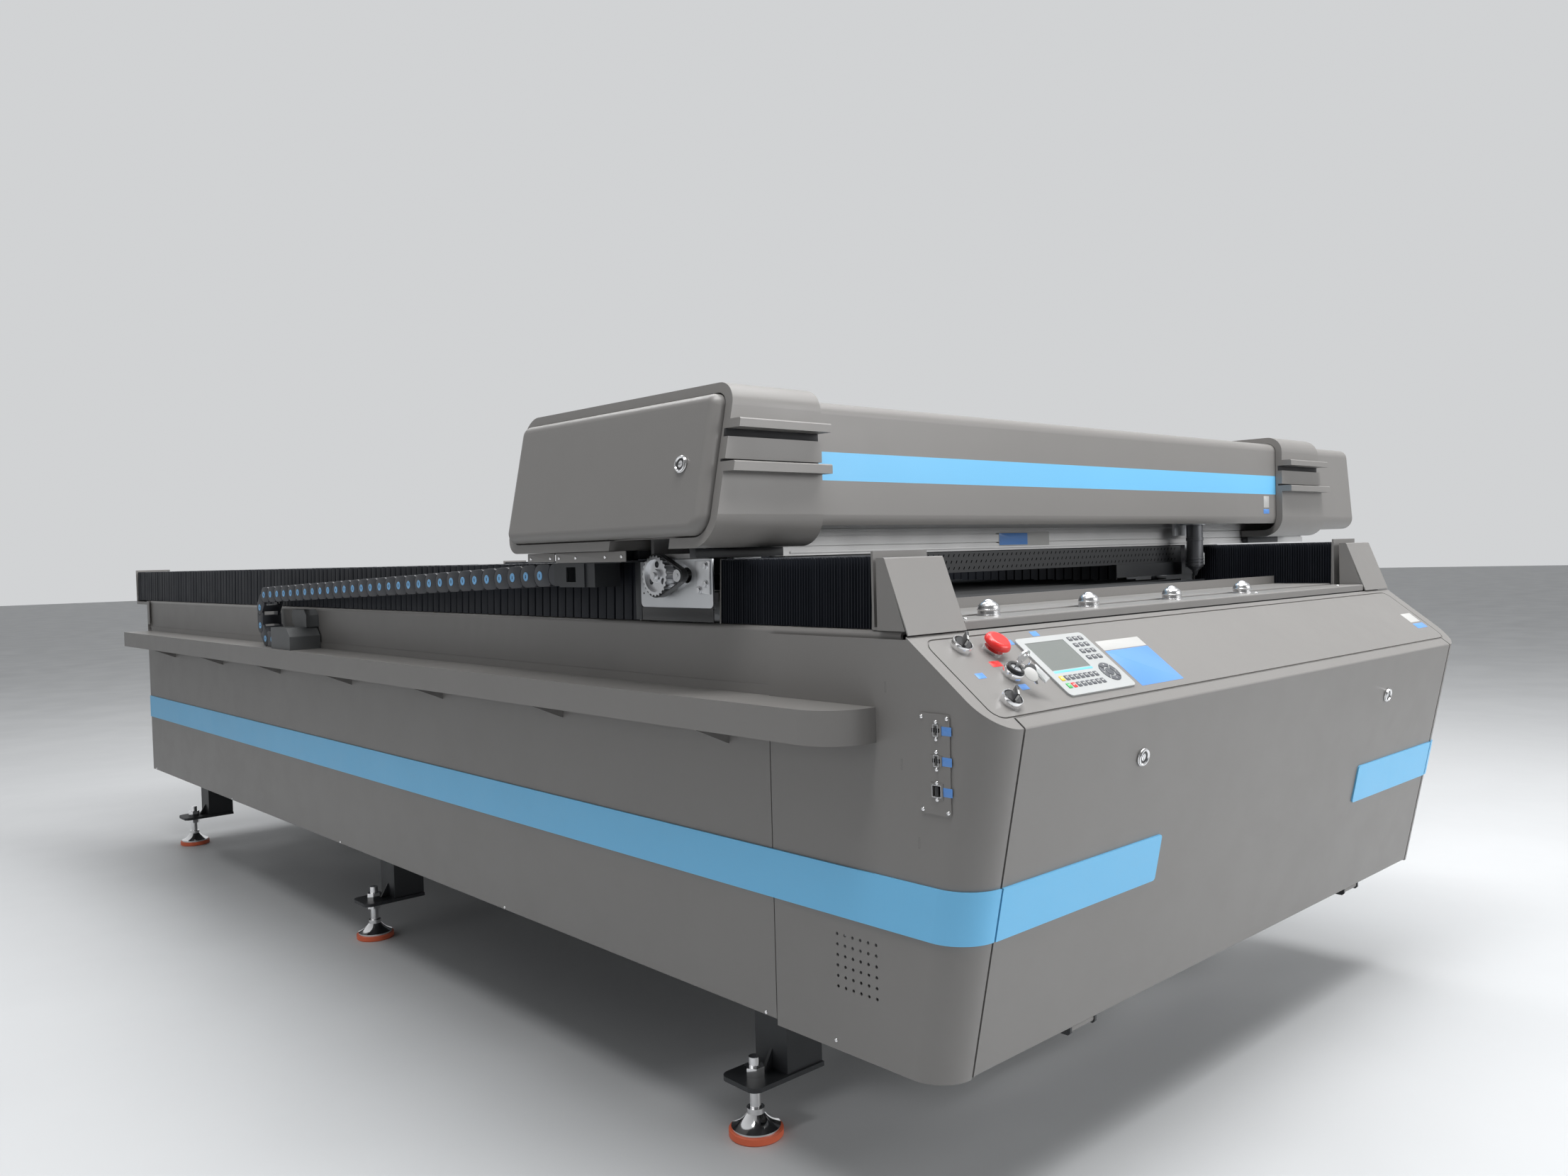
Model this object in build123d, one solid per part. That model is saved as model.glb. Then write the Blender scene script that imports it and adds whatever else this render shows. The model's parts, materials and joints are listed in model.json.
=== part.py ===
from build123d import *
import os
from math import atan2, cos, degrees, hypot, radians, sin, tan

# A large-format carbon dioxide laser cutting machine: a sheet-clad flat bed on six levelling
# feet, a front control desk, two bellows-covered side rails, and a covered gantry that rides on
# them with the laser tube inside and the cutting head on its front. Millimetres. While it is
# being drawn, X runs right from the left side panel, Y runs back from the nose of the front, and
# Z runs up from the floor. The export moves everything so that the origin is at the middle of
# the footprint, on the floor.

# Body
body_width = 1640.0
body_bottom = 250.0
nose_height = 735.0
front_lean = 98.0
desk_depth = 149.0
desk_rise = 116.0
corner_radius = 55.0
panel = 2.0
corner_panel_depth = 426.0
panel_seam = 2.0
skirt_rear = 3739.0
skirt_bottom = 258.0
fit_gap = 0.3

# Welded frame and feet
tube = 80.0
tube_wall = 4.0
base_tube_bottom = skirt_bottom + panel
leg_first = 579.0
leg_pitch = 1500.0
leg_count = 3
leg_inset = 160.0
foot_inset = 82.0
flange_plate = 8.0
flange_bottom = 92.0
stud_radius = 10.0
stud_top = 132.0
nut_height = 16.0
nut_across = 30.0
pad_radius = 46.0
pad_rim = 12.0
pad_floor = 8.0
foot_neck_top = 47.0

# Side rails
beam_width = 120.0
beam_height = 100.0
beam_wall = 5.0
beam_inset = 8.0
beam_bottom = 758.0
beam_front = 165.0
guide_width = 30.0
guide_height = 28.0

# Bellows
bellows_width = 110.0
bellows_height = 106.0
bellows_core_width = 74.0
bellows_core_height = 84.0
pleat_depth = 16.0
front_pleats = 24
rear_pleats = 60
bellows_front_start = 219.0
bellows_rear_end = 3902.0

# Gantry
gantry_front = 462.0
gantry_rear = 1069.0
gantry_bottom = 979.0
gantry_height = 253.0
gantry_top = gantry_bottom + gantry_height
collar_wall = 16.0
collar_top_radius = 38.0
collar_bottom_radius = 50.0
end_tilt = 0.21
left_collar_end = -45.0
left_collar_inner = 160.0
right_collar_inner = 1805.0
right_collar_end = 2037.0
right_housing_end = 2263.0
pan_depth = 20.0
cover_bottom = gantry_bottom + 0.13 * gantry_height
cover_band_bottom = gantry_bottom + 0.42 * gantry_height
cover_band_top = gantry_bottom + 0.605 * gantry_height
alloy_beam_front = 575.0
alloy_beam_depth = 150.0
alloy_beam_bottom = 963.0
alloy_beam_height = 110.0
carriage_front = 556.0
carriage_rear = 762.0

# Cable chain
tray_reach = 83.0
tray_top = 753.0
tray_flange = 49.0
tray_front = 207.0
tray_rear = 3715.0
gusset_first = 525.0
gusset_pitch = 483.0
gusset_count = 7
gusset_foot = 671.0
chain_pitch = 49.0
chain_width = 50.0
chain_height = 42.0
chain_outer = -55.0
chain_start = 933.0
chain_start_height = 940.0
chain_links = 30
chain_turn = 45.0
chain_bend_links = 3
chain_lower_links = 2

# Cutting head
head_x = body_width - 180
head_y = 518.0
head_radius = 19.0
nozzle_tip = 889.0

# Controls, placed by X and by distance up the desk from the nose
keypad_left = 203.0
keypad_width = 170.0
keypad_low = 38.0
keypad_length = 121.0
estop_at = (144.0, 146.0)
rear_selector_at = (84.0, 158.0)
front_selector_at = (77.0, 48.0)
key_switch_at = (132.0, 95.0)
switch_bore = 11.0
bezel_radius = 14.75
bezel_height = 4.0
estop_travel = 5.0

# Worktable
table_front = 352.0
table_rear = 3700.0
table_top = 880.0
slat_pitch = 62.0
slat_height = 45.0
slat_thickness = 3.0
deck_front = 155.0
deck_top = 866.0
ball_first = 245.0
ball_pitch = 268.0
ball_count = 4
ball_row = 199.0
ball_radius = 10.0

# Worked out from the sizes above
lean = front_lean / (nose_height - body_bottom)
lean_angle = atan2(front_lean, nose_height - body_bottom)
desk_angle = atan2(desk_rise, desk_depth)
desk_top = nose_height + desk_rise
beam_top = beam_bottom + beam_height
base_tube_top = base_tube_bottom + tube
rail_centre = beam_inset + beam_width / 2
leg_rows = [leg_first + leg_pitch * i for i in range(leg_count)]
chain_end = chain_start + chain_links * chain_pitch
chain_low = tray_top + chain_height / 2 + fit_gap
chain_high = chain_low + chain_pitch * (1 + 2 * sin(radians(chain_turn)))
bellows_bottom = beam_top + fit_gap
bellows_top = bellows_bottom + bellows_height


def along_x(face, start, end):
    """A YZ section, drawn as (y, z), carried from start to end along X."""
    return extrude(Plane.YZ.offset(start) * face, amount=end - start)


def along_y(face, start, end):
    """An XZ section, drawn as (x, z), carried from start to end along Y."""
    plane = Plane(origin=(0, start, 0), x_dir=(1, 0, 0), z_dir=(0, -1, 0))
    return extrude(plane * face, amount=start - end)


def along_z(face, start, end):
    """A plan, drawn as (x, y), carried from start to end along Z."""
    return extrude(Plane.XY.offset(start) * face, amount=end - start)


def area(*points):
    """A closed flat outline through the given points."""
    return make_face(Polyline(*points, close=True))


def bent_strip(points, thickness, radius):
    """The section of a folded sheet: its outer line, thickened to the left, bends rounded."""
    line = FilletPolyline(*points, radius=radius) if len(points) > 2 else Polyline(*points)
    return make_face(offset(line, amount=thickness, side=Side.LEFT, closed=True))


def block(x, y, z):
    """A plain bar between two limits on each axis."""
    return along_z(area((x[0], y[0]), (x[1], y[0]), (x[1], y[1]), (x[0], y[1])), z[0], z[1])


def mirrored(shape):
    """The same piece on the other side of the body."""
    return mirror(shape, about=Plane.YZ.offset(body_width / 2))


def group(pieces):
    """Separate solids that share one file."""
    solids = []
    for piece in pieces:
        solids.extend(piece.solids())
    return Compound(children=solids)


def disc(radius, start, end, place):
    """A round bar along the local Z of a place."""
    return place * Pos(0, 0, (start + end) / 2) * Cylinder(radius, end - start)


def front_y(height):
    """How far back the leaning front stands at a height."""
    return lean * (nose_height - height)


def desk_place(x, up, lift=0.0):
    """A place on the desk's surface, with local Z square to it."""
    y = up * cos(desk_angle) - lift * sin(desk_angle)
    z = nose_height + up * sin(desk_angle) + lift * cos(desk_angle)
    return Pos(x, y, z) * Rot(degrees(desk_angle), 0, 0)


def door_place(x, height, lift=0.0):
    """A place on the front door, with local Z pointing out of it."""
    y = front_y(height) - lift * cos(lean_angle)
    z = height - lift * sin(lean_angle)
    return Pos(x, y, z) * Rot(90 + degrees(lean_angle), 0, 0)


# Frame, feet and rails


def square_tube(start, end, across, up, axis):
    """A length of square tube along X or Y, given its two low corners across and up."""
    outer = area((across, up), (across + tube, up), (across + tube, up + tube), (across, up + tube))
    low = across + tube_wall
    far = across + tube - tube_wall
    inner = area(
        (low, up + tube_wall),
        (far, up + tube_wall),
        (far, up + tube - tube_wall),
        (low, up + tube - tube_wall),
    )
    draw = along_x if axis == "X" else along_y
    return draw(outer - inner, start, end)


def post(x, y, bottom, top):
    """An upright length of square tube, centred at x and y."""
    half = tube / 2
    outer = area((x - half, y - half), (x + half, y - half), (x + half, y + half), (x - half, y + half))
    in_half = half - tube_wall
    inner = area(
        (x - in_half, y - in_half),
        (x + in_half, y - in_half),
        (x + in_half, y + in_half),
        (x - in_half, y + in_half),
    )
    return along_z(outer - inner, bottom, top)


frame_front = 120.0
frame_inner = rail_centre + tube / 2
frame_posts = [frame_front + tube / 2] + leg_rows


def foot_flange(y):
    """The plate welded under a leg, with its gusset and the stud's hole."""
    outer_end = foot_inset - tube / 2
    inner_end = leg_inset + tube / 2
    plan = area((outer_end, y - 45), (inner_end, y - 45), (inner_end, y + 45), (outer_end, y + 45))
    plate = along_z(plan, flange_bottom, flange_bottom + flange_plate)
    plate = fillet([e for e in plate.edges().filter_by(Axis.Z) if e.center().X < foot_inset], 18)
    stud_hole = Cylinder(stud_radius + 0.5, 2 * flange_plate)
    plate -= Pos(foot_inset, y, flange_bottom + flange_plate / 2) * stud_hole
    top = flange_bottom + flange_plate
    face = leg_inset - tube / 2
    return plate + along_y(area((face, top), (face, top + 34), (face - 20, top)), y - 3, y + 3)


def door_hinge(x):
    """Two lugs on the front cross tube with the pin that the door's knuckle turns on."""
    reach = 9.0
    lug = area(
        (frame_front, base_tube_bottom),
        (frame_front, base_tube_bottom + 40),
        (hinge_y - reach, hinge_z + 4),
        (hinge_y - reach, hinge_z - reach + 4),
        (hinge_y - reach + 4, hinge_z - reach),
        (hinge_y + reach, hinge_z - reach),
    )
    half = knuckle_length / 2 + fit_gap
    lugs = along_x(lug, x - half - 5, x - half) + along_x(lug, x + half, x + half + 5)
    pin = Pos(x, hinge_y, hinge_z) * Rot(0, 90, 0) * Cylinder(hinge_pin, knuckle_length + 14)
    return lugs + pin


hinge_z = 246.0
hinge_y = front_y(hinge_z) + 13.0
hinge_pin = 4.0
knuckle_length = 60.0
knuckle_radius = 7.5
hinge_rows = (330.0, body_width - 330.0)


strike_depth = 23.0
strike_sheet = 3.0
strike_low = 672.0
strike_high = 712.0


def strike_rail():
    """Flat rail behind the top of the door that the locks' cams catch."""
    near, far = strike_depth / cos(lean_angle), (strike_depth + strike_sheet) / cos(lean_angle)
    section = area(
        (front_y(strike_low) + near, strike_low), (front_y(strike_high) + near, strike_high),
        (front_y(strike_high) + far, strike_high), (front_y(strike_low) + far, strike_low),
    )
    return along_x(section, corner_radius, body_width - corner_radius)


def base_frame():
    """The welded tubes: base rails, cross tubes, posts, legs, foot flanges, hinges and rail."""
    rear = skirt_rear - panel
    pieces = []
    half = [square_tube(frame_front + tube, rear, rail_centre - tube / 2, base_tube_bottom, "Y")]
    half += [post(rail_centre, y, base_tube_top, beam_bottom) for y in frame_posts]
    leg_bottom = flange_bottom + flange_plate
    half += [post(leg_inset, y, leg_bottom, base_tube_bottom) for y in leg_rows]
    half += [foot_flange(y) for y in leg_rows]
    for piece in half:
        pieces += [piece, mirrored(piece)]
    far = body_width - frame_inner
    pieces += [square_tube(frame_inner, far, y - tube / 2, base_tube_bottom, "X") for y in leg_rows]
    low = rail_centre - tube / 2
    pieces.append(square_tube(low, body_width - low, frame_front, base_tube_bottom, "X"))
    top_tube = deck_top - panel - tube
    beam_inner = beam_inset + beam_width
    pieces.append(square_tube(beam_inner, body_width - beam_inner, deck_front + 8, top_tube, "X"))
    pieces += [door_hinge(x) for x in hinge_rows] + [strike_rail()]
    return group(pieces)


def at_feet(piece):
    """One copy of a foot's piece under each leg."""
    pieces = []
    for y in leg_rows:
        pieces.append(Pos(foot_inset, y, 0) * piece)
        pieces.append(Pos(body_width - foot_inset, y, 0) * piece)
    return group(pieces)


def foot_pads():
    """Rubber pads: a flat floor with a rim round the metal base."""
    profile = area(
        (0, 0), (pad_radius - 2, 0), (pad_radius, 2), (pad_radius, pad_rim), (pad_radius - 4, pad_rim),
        (pad_radius - 4, pad_floor), (0, pad_floor),
    )
    return at_feet(revolve(Plane.XZ * profile, Axis.Z))


def foot_stud():
    """The threaded stud with a nut under and a nut over its flange."""
    stud = Pos(0, 0, (36 + stud_top) / 2) * Cylinder(stud_radius - fit_gap, stud_top - 36)
    hexagon = RegularPolygon(nut_across / 2, 6, major_radius=False) - Circle(stud_radius - fit_gap)
    over = flange_bottom + flange_plate
    lower = along_z(hexagon, flange_bottom - nut_height, flange_bottom)
    upper = along_z(hexagon, over, over + nut_height)
    return [stud, lower, upper]


def foot_bases():
    """Turned metal bases, a wide dish swept up to a neck, with their studs and nuts."""
    wide = pad_radius - 4 - fit_gap
    neck = stud_radius + 5
    shoulder = pad_rim + 5
    sweep = Line((wide, pad_floor), (wide, shoulder)) + RadiusArc((wide, shoulder), (neck, 38), 60)
    rest = Polyline(
        (neck, 38), (neck, foot_neck_top), (stud_radius, foot_neck_top),
        (stud_radius, 36), (0, 36), (0, pad_floor),
        (wide, pad_floor),
    )
    return at_feet(group([revolve(Plane.XZ * make_face(sweep + rest), Axis.Z)] + foot_stud()))


def rail_beams():
    """The painted box beams that carry the guides, one each side."""
    low, high = beam_inset, beam_inset + beam_width
    outer = area((low, beam_bottom), (high, beam_bottom), (high, beam_top), (low, beam_top))
    outer = fillet(outer.vertices(), 8)
    inner = offset(outer, amount=-beam_wall)
    beam = along_y(outer - inner, beam_front, skirt_rear - panel)
    return group([beam, mirrored(beam)])


guide_front = 225.0
guide_rear = 3725.0


def linear_guides():
    """Profiled steel guide rails, waisted for the ball rows of their blocks."""
    half, top = guide_width / 2, beam_top + guide_height
    waist = half - 4
    side = [
        (half, beam_top), (half, beam_top + 9), (waist, beam_top + 14),
        (waist, top - 9), (half, top - 5), (half, top),
    ]
    left = [(-x, z) for x, z in reversed(side)]
    guide = along_y(area(*side, *left), guide_front, guide_rear)
    return group([Pos(x, 0, 0) * guide for x in (rail_centre, body_width - rail_centre)])


belt_left = 34.0
belt_width = 24.0
belt_top = 920.0
belt_thickness = 3.0


def track_belts():
    """Toothed belts stretched along each rail, with the clamp blocks at both ends."""
    far = belt_left + belt_width
    belt = block((belt_left, far), (guide_front, guide_rear), (belt_top - belt_thickness, belt_top))
    ends = []
    for start in (guide_front, guide_rear - 30):
        ends.append(block((belt_left, far - 6), (start, start + 30), (beam_top, belt_top - belt_thickness)))
    return group([belt, mirrored(belt)] + ends + [mirrored(end) for end in ends])


# Sheet metal of the body


def body_outline(top_cut):
    """Side view of the body's clad front, with the desk's surface lowered by top_cut."""
    drop = top_cut / cos(desk_angle)
    return area(
        (front_y(body_bottom), body_bottom),
        (front_y(nose_height - drop), nose_height - drop),
        (desk_depth, desk_top - drop),
        (corner_panel_depth, desk_top - drop),
        (corner_panel_depth, body_bottom),
    )


def round_front(solid, radius):
    """Rounds the two leaning front corners of the body."""
    corners = []
    for edge in solid.edges():
        span = edge.bounding_box().size
        if span.X < 1 and span.Z > 300 and 10 < span.Y < 300:
            corners.append(edge)
    return fillet(corners, radius)


def clad_walls():
    """The body's standing walls, two millimetres thick, open behind, below and above."""
    outer = round_front(along_x(body_outline(slab), 0, body_width), corner_radius)
    low, high = body_bottom - 20, desk_top + 40
    back = corner_panel_depth + 40
    room = area(
        (front_y(low) + panel, low), (front_y(high) + panel, high), (back, high), (back, low)
    )
    inner = round_front(along_x(room, panel, body_width - panel), corner_radius - panel)
    return outer - inner


slab = 3.0
door_gap = 4.0
vent_rows = 6
vent_pitch = 15.2
vent_radius = 2.6
vent_low = (217.0, 344.0)
io_cut = (80.0, 123.0, 624.0, 748.0)
knockouts = ((188.0, 782.0), (161.0, 679.0), (133.0, 577.0))


jamb_depth = 34.0


def jamb():
    """Flange turned in beside the door opening, drawn for the left corner."""
    top = nose_height - 12
    section = area(
        (front_y(body_bottom) + 0.5, body_bottom),
        (front_y(top) + 0.5, top),
        (front_y(top) + jamb_depth, top),
        (front_y(body_bottom) + jamb_depth - 14, body_bottom),
    )
    return along_x(section, corner_radius - panel, corner_radius)


def corner_panel_left(walls):
    """Left front corner: wall, rounded corner, fan vent, socket opening and knockouts."""
    piece = walls & block((-1, corner_radius), (-1, corner_panel_depth), (0, desk_top))
    piece += jamb()
    hole = Rot(0, 90, 0) * extrude(RegularPolygon(vent_radius, 8), 10, both=True)
    holes = []
    for row in range(vent_rows):
        for column in range(vent_rows):
            y = vent_low[0] + vent_pitch * column
            holes.append(Pos(0, y, vent_low[1] + vent_pitch * row) * hole)
    piece -= holes
    piece -= block((-5, 10), io_cut[:2], io_cut[2:])
    slot = Rot(90, 0, 90) * extrude(SlotOverall(12, 5, rotation=90), 10, both=True)
    piece -= [Pos(0, y, z) * slot for y, z in knockouts]
    return piece


def corner_panel_right(walls):
    """Right front corner: wall and rounded corner."""
    limits = (body_width - corner_radius, body_width + 1)
    return (walls & block(limits, (-1, corner_panel_depth), (0, desk_top))) + mirrored(jamb())


def side_skirts():
    """Long side sheets with their top and bottom edges folded in."""
    points = [(60, skirt_bottom), (0, skirt_bottom), (0, tray_top - panel), (26, tray_top - panel)]
    section = bent_strip(points[::-1], panel, panel + 1)
    skirt = along_y(section, corner_panel_depth + panel_seam, skirt_rear - panel)
    return group([skirt, mirrored(skirt)])


spigot_radius = 75.0
spigot_rows = (470.0, body_width - 470.0)
spigot_height = 520.0


def rear_panel():
    """Back sheet with side returns above the skirts and two exhaust spigots."""
    top = beam_top - fit_gap
    sheet = block((0, body_width), (skirt_rear - panel, skirt_rear), (skirt_bottom, top))
    sheet += block((0, panel), (skirt_rear - 22, skirt_rear - panel), (tray_top + 22, top))
    right_edge = (body_width - panel, body_width)
    sheet += block(right_edge, (skirt_rear - 22, skirt_rear - panel), (tray_top + 22, top))
    for x in spigot_rows:
        place = Pos(x, skirt_rear, spigot_height) * Rot(-90, 0, 0)
        sheet -= disc(spigot_radius, -10, 10, place)
        ring = disc(spigot_radius + 1.5, -1, 60, place) + disc(spigot_radius + 16, 0, 2, place)
        sheet += ring - disc(spigot_radius, -10, 70, place)
    return sheet


def corner_bodies():
    """Both front corner panels, cut from the same walls."""
    walls = clad_walls()
    return corner_panel_left(walls), corner_panel_right(walls)


stripe_low = 447.0
stripe_high = 521.0
stripe_proud = 3.0
door_stripe_left_end = 459.0
door_stripe_right_start = 1202.0


def side_stripes():
    """Raised bands along both sides, bent round the rounded front corners."""
    strip = Pos(0, (stripe_low + stripe_high) / 2) * Rectangle(2000, stripe_high - stripe_low)
    band = body_outline(0) & strip
    core = round_front_band(along_x(band, 0, body_width), corner_radius)
    raised = area(
        (front_y(stripe_low) - stripe_proud, stripe_low), (front_y(stripe_high) - stripe_proud, stripe_high),
        (corner_panel_depth, stripe_high), (corner_panel_depth, stripe_low),
    )
    shell = round_front_band(
        along_x(raised, -stripe_proud, body_width + stripe_proud), corner_radius + stripe_proud
    )
    shell -= core
    rear = skirt_rear - panel
    left = shell & block((-10, corner_radius), (-10, corner_panel_depth), (0, desk_top))
    left += block((-stripe_proud, 0), (corner_panel_depth, rear), (stripe_low, stripe_high))
    far_end = (body_width - corner_radius, body_width + 10)
    right = shell & block(far_end, (-10, corner_panel_depth), (0, desk_top))
    right += block(
        (body_width, body_width + stripe_proud), (corner_panel_depth, rear), (stripe_low, stripe_high)
    )
    return group([left, right])


def round_front_band(solid, radius):
    """Rounds the two front corners of a low band of the body."""
    corners = []
    for edge in solid.edges():
        span = edge.bounding_box().size
        if span.X < 1 and span.Z > 50 and 1 < span.Y < 300:
            corners.append(edge)
    return fillet(corners, radius)


door_left = corner_radius + door_gap
door_right = body_width - corner_radius - door_gap
door_bottom = 252.0
door_return = 20.0
lock_rows = (363.0, body_width - 363.0)
lock_height = 656.0
lock_bore = 11.0
cam_gap = 1.5


def door_sheet_points():
    """Outer line of the door's section: bottom return, leaning face, nose and lip."""
    lip = 20.0
    return [
        (front_y(door_bottom) + door_return, door_bottom),
        (front_y(door_bottom), door_bottom),
        (0, nose_height),
        (lip * cos(desk_angle), nose_height + lip * sin(desk_angle)),
    ]


def front_door():
    """Folded front door: face, lip over the nose, returns, hinge knuckles and lock holes."""
    points = door_sheet_points()
    section = bent_strip(points[::-1], panel, panel + 2)
    door = along_x(section, door_left, door_right)
    deep = [(y + door_return, z) for y, z in points[1:3]]
    deep[1] = (points[3][0], points[2][1] - 4)
    cheek = area(points[1], (0.6, nose_height - 1.5), deep[1], (front_y(600) + door_return, 600), deep[0])
    for start in (door_left, door_right - panel):
        door += along_x(cheek, start, start + panel)
    for x in hinge_rows:
        place = Pos(x, hinge_y, hinge_z) * Rot(0, 90, 0)
        door += place * Cylinder(knuckle_radius, knuckle_length)
        door -= place * Cylinder(hinge_pin + fit_gap, knuckle_length + 1)
        for middle in (x - knuckle_length / 2 - 3.5, x + knuckle_length / 2 + 3.5):
            door -= block((middle - 3.5, middle + 3.5), (hinge_y - 10, hinge_y + 12), (hinge_z, hinge_z + 12))
    for x in lock_rows:
        door -= disc(lock_bore, -20, 10, door_place(x, lock_height))
    return door


def door_stripes():
    """The two lengths of raised band on the door, with rounded free ends."""
    pieces = []
    for start, end in ((door_left, door_stripe_left_end), (door_stripe_right_start, door_right)):
        middle = (stripe_low + stripe_high) / 2
        plate = Box(end - start, (stripe_high - stripe_low) / cos(lean_angle), stripe_proud)
        free = max if end < body_width / 2 else min
        edges = plate.edges().filter_by(Axis.Z)
        limit = free(e.center().X for e in edges)
        plate = fillet([e for e in edges if abs(e.center().X - limit) < 1], 6)
        pieces.append(door_place((start + end) / 2, middle, stripe_proud / 2) * plate)
    return group(pieces)


def cam_lock(place, grip, way=1):
    """A quarter-turn lock, drawn open: head on the face, barrel through the hole, cam behind."""
    head = disc(14, 0, 3, place)
    head = fillet(head.edges().filter_by(GeomType.CIRCLE).group_by(SortBy.LENGTH)[-1], 1.2)
    barrel = disc(lock_bore - fit_gap, -grip - 8, 0, place)
    key_slot = place * Pos(0, 0, 3) * Box(2, 9, 3)
    cam = place * Pos(17 * way, 0, -grip - 10) * Box(50, 16, 4)
    return head + barrel + cam - key_slot


def door_locks():
    """Left and right door locks, their cams behind the strike rail."""
    grip = strike_depth + strike_sheet + cam_gap + 2 - 10
    return [cam_lock(door_place(x, lock_height), grip) for x in lock_rows]


plate_left = 25.0
plate_right = body_width - 35.0
plate_low = 24.0
plate_high = 177.0
plate_gap = 2.5
ledge = 12.0


def desk_box(x, up, lift):
    """A block lying on the desk, between limits in X, up the desk, and above its surface."""
    solid = Box(x[1] - x[0], up[1] - up[0], lift[1] - lift[0])
    return desk_place((x[0] + x[1]) / 2, (up[0] + up[1]) / 2, (lift[0] + lift[1]) / 2) * solid


def desk_plate_blank(margin, lift):
    """The desk's inset plate outline, grown by a margin and made thick between two lifts."""
    blank = desk_box(
        (plate_left - margin, plate_right + margin), (plate_low - margin, plate_high + margin), lift
    )
    upright = [e for e in blank.edges() if abs(e.length - (lift[1] - lift[0])) < 0.001]
    return fillet(upright, 20 + margin) if margin > -15 else blank


def console_frame():
    """Border of the control desk, following the body's rounded corners, with a ledge inside."""
    outer = round_front(along_x(body_outline(0), 0, body_width), corner_radius)
    slab_zone = along_x(body_outline(0) - body_outline(slab), -1, body_width + 1)
    slab_zone &= block((-1, body_width + 1), (-1, desk_depth), (0, desk_top + 1))
    border = outer & slab_zone
    border += desk_box(
        (plate_left - 10, plate_right + 10), (door_gap + 20, plate_high + 8), (-slab - 2, -slab)
    ) & outer
    border -= desk_plate_blank(plate_gap, (-panel, 20))
    border -= desk_plate_blank(-ledge, (-20, 20))
    for spot in (rear_selector_at, front_selector_at):
        border -= disc(switch_bore + 4, -20, 0, desk_place(*spot))
    return border - desk_box((door_left - door_gap, door_right + door_gap), (-40, 20 + 2), (-20, 20))


def console_plate():
    """Inset desk plate with the holes for the switches and the keypad's cable."""
    plate = desk_plate_blank(0, (-panel, 0))
    for x, up in (estop_at, rear_selector_at, front_selector_at, key_switch_at):
        plate -= disc(switch_bore + fit_gap, -20, 20, desk_place(x, up))
    window = desk_box(
        (keypad_left + 20, keypad_left + keypad_width - 20),
        (keypad_low + 20, keypad_low + keypad_length - 20),
        (-20, 20),
    )
    return plate - window


keypad_thickness = 3.0
screen_left = 14.0
screen_width = 96.0
screen_low = 50.0
screen_length = 60.0
key_rise = 1.0


def keypad_panel():
    """Keypad bezel with a recess for the screen and its control box behind the plate."""
    x = (keypad_left, keypad_left + keypad_width)
    face = desk_box(x, (keypad_low, keypad_low + keypad_length), (0, keypad_thickness))
    corners = [e for e in face.edges() if abs(e.length - keypad_thickness) < 0.001]
    face = fillet(corners, 8)
    face += desk_box((x[0] + 22, x[1] - 22), (keypad_low + 22, keypad_low + keypad_length - 22), (-26, 0))
    left = keypad_left + screen_left
    low = keypad_low + screen_low
    return face - desk_box((left, left + screen_width), (low, low + screen_length), (1.5, 10))


def keypad_screen():
    """The screen's window, seated in the recess."""
    left = keypad_left + screen_left
    low = keypad_low + screen_low
    return desk_box((left, left + screen_width), (low, low + screen_length), (1.5, keypad_thickness - 0.4))


def keypad_keys():
    """Raised membrane keys: two rows below the screen and a block at the right."""
    keys = []
    for row in range(2):
        for column in range(8):
            x = keypad_left + 13 + 12.2 * column
            up = keypad_low + 14 + 15 * row
            keys.append((x, up, 8.6, 8.6))
    for row in range(4):
        for column in range(3):
            keys.append((keypad_left + 121 + 14 * column, keypad_low + 62 + 14 * row, 10, 9))
    pieces = []
    for x, up, wide, tall in keys:
        lift = (keypad_thickness, keypad_thickness + key_rise)
        pieces.append(desk_box((x, x + wide), (up, up + tall), lift))
    ring = Pos(0, 0, keypad_thickness) * extrude(Circle(19) - Circle(9.5), key_rise)
    pieces.append(desk_place(keypad_left + 139, keypad_low + 33) * ring)
    ring_pad = extrude(Circle(7), key_rise)
    pieces.append(desk_place(keypad_left + 139, keypad_low + 33, keypad_thickness) * ring_pad)
    return group(pieces)


def switch_bezel(place, bore):
    """A chrome ring on the plate with its threaded body below, bored for the moving part."""
    body = disc(bezel_radius, 0, bezel_height, place) + disc(switch_bore, -30, 0, place)
    body += disc(switch_bore + 3, -panel - 8, -panel, place)
    return body - disc(bore, -29, 20, place)


knob_bore = 8.3


def switch_bezels():
    """The fixed rings and bodies of the emergency stop, both selectors and the key switch."""
    spots = (estop_at, rear_selector_at, front_selector_at, key_switch_at)
    return group([switch_bezel(desk_place(x, up), knob_bore) for x, up in spots])


def estop_button():
    """Mushroom head on its plunger."""
    place = desk_place(*estop_at)
    under = bezel_height + estop_travel + fit_gap
    cap = Pos(0, 0, under + 6) * Cylinder(20, 12)
    cap = fillet(cap.edges().filter_by(GeomType.CIRCLE).sort_by(Axis.Z)[-1], 8)
    cap = chamfer(cap.edges().filter_by(GeomType.CIRCLE).sort_by(Axis.Z)[0], 3)
    stem = disc(knob_bore - fit_gap, -22, under + 1, place)
    return place * cap + stem


def selector(place):
    """A turn knob: round skirt with a raised grip bar across it."""
    stem = disc(knob_bore - fit_gap, -24, bezel_height + 2, place)
    skirt = disc(11.5, bezel_height + fit_gap, bezel_height + 6, place)
    grip = place * Pos(0, 3, bezel_height + 12) * Box(6.5, 26, 13)
    ends = [e for e in grip.edges() if abs(e.length - 13) < 0.01]
    return stem + skirt + fillet(ends, 3)


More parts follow.
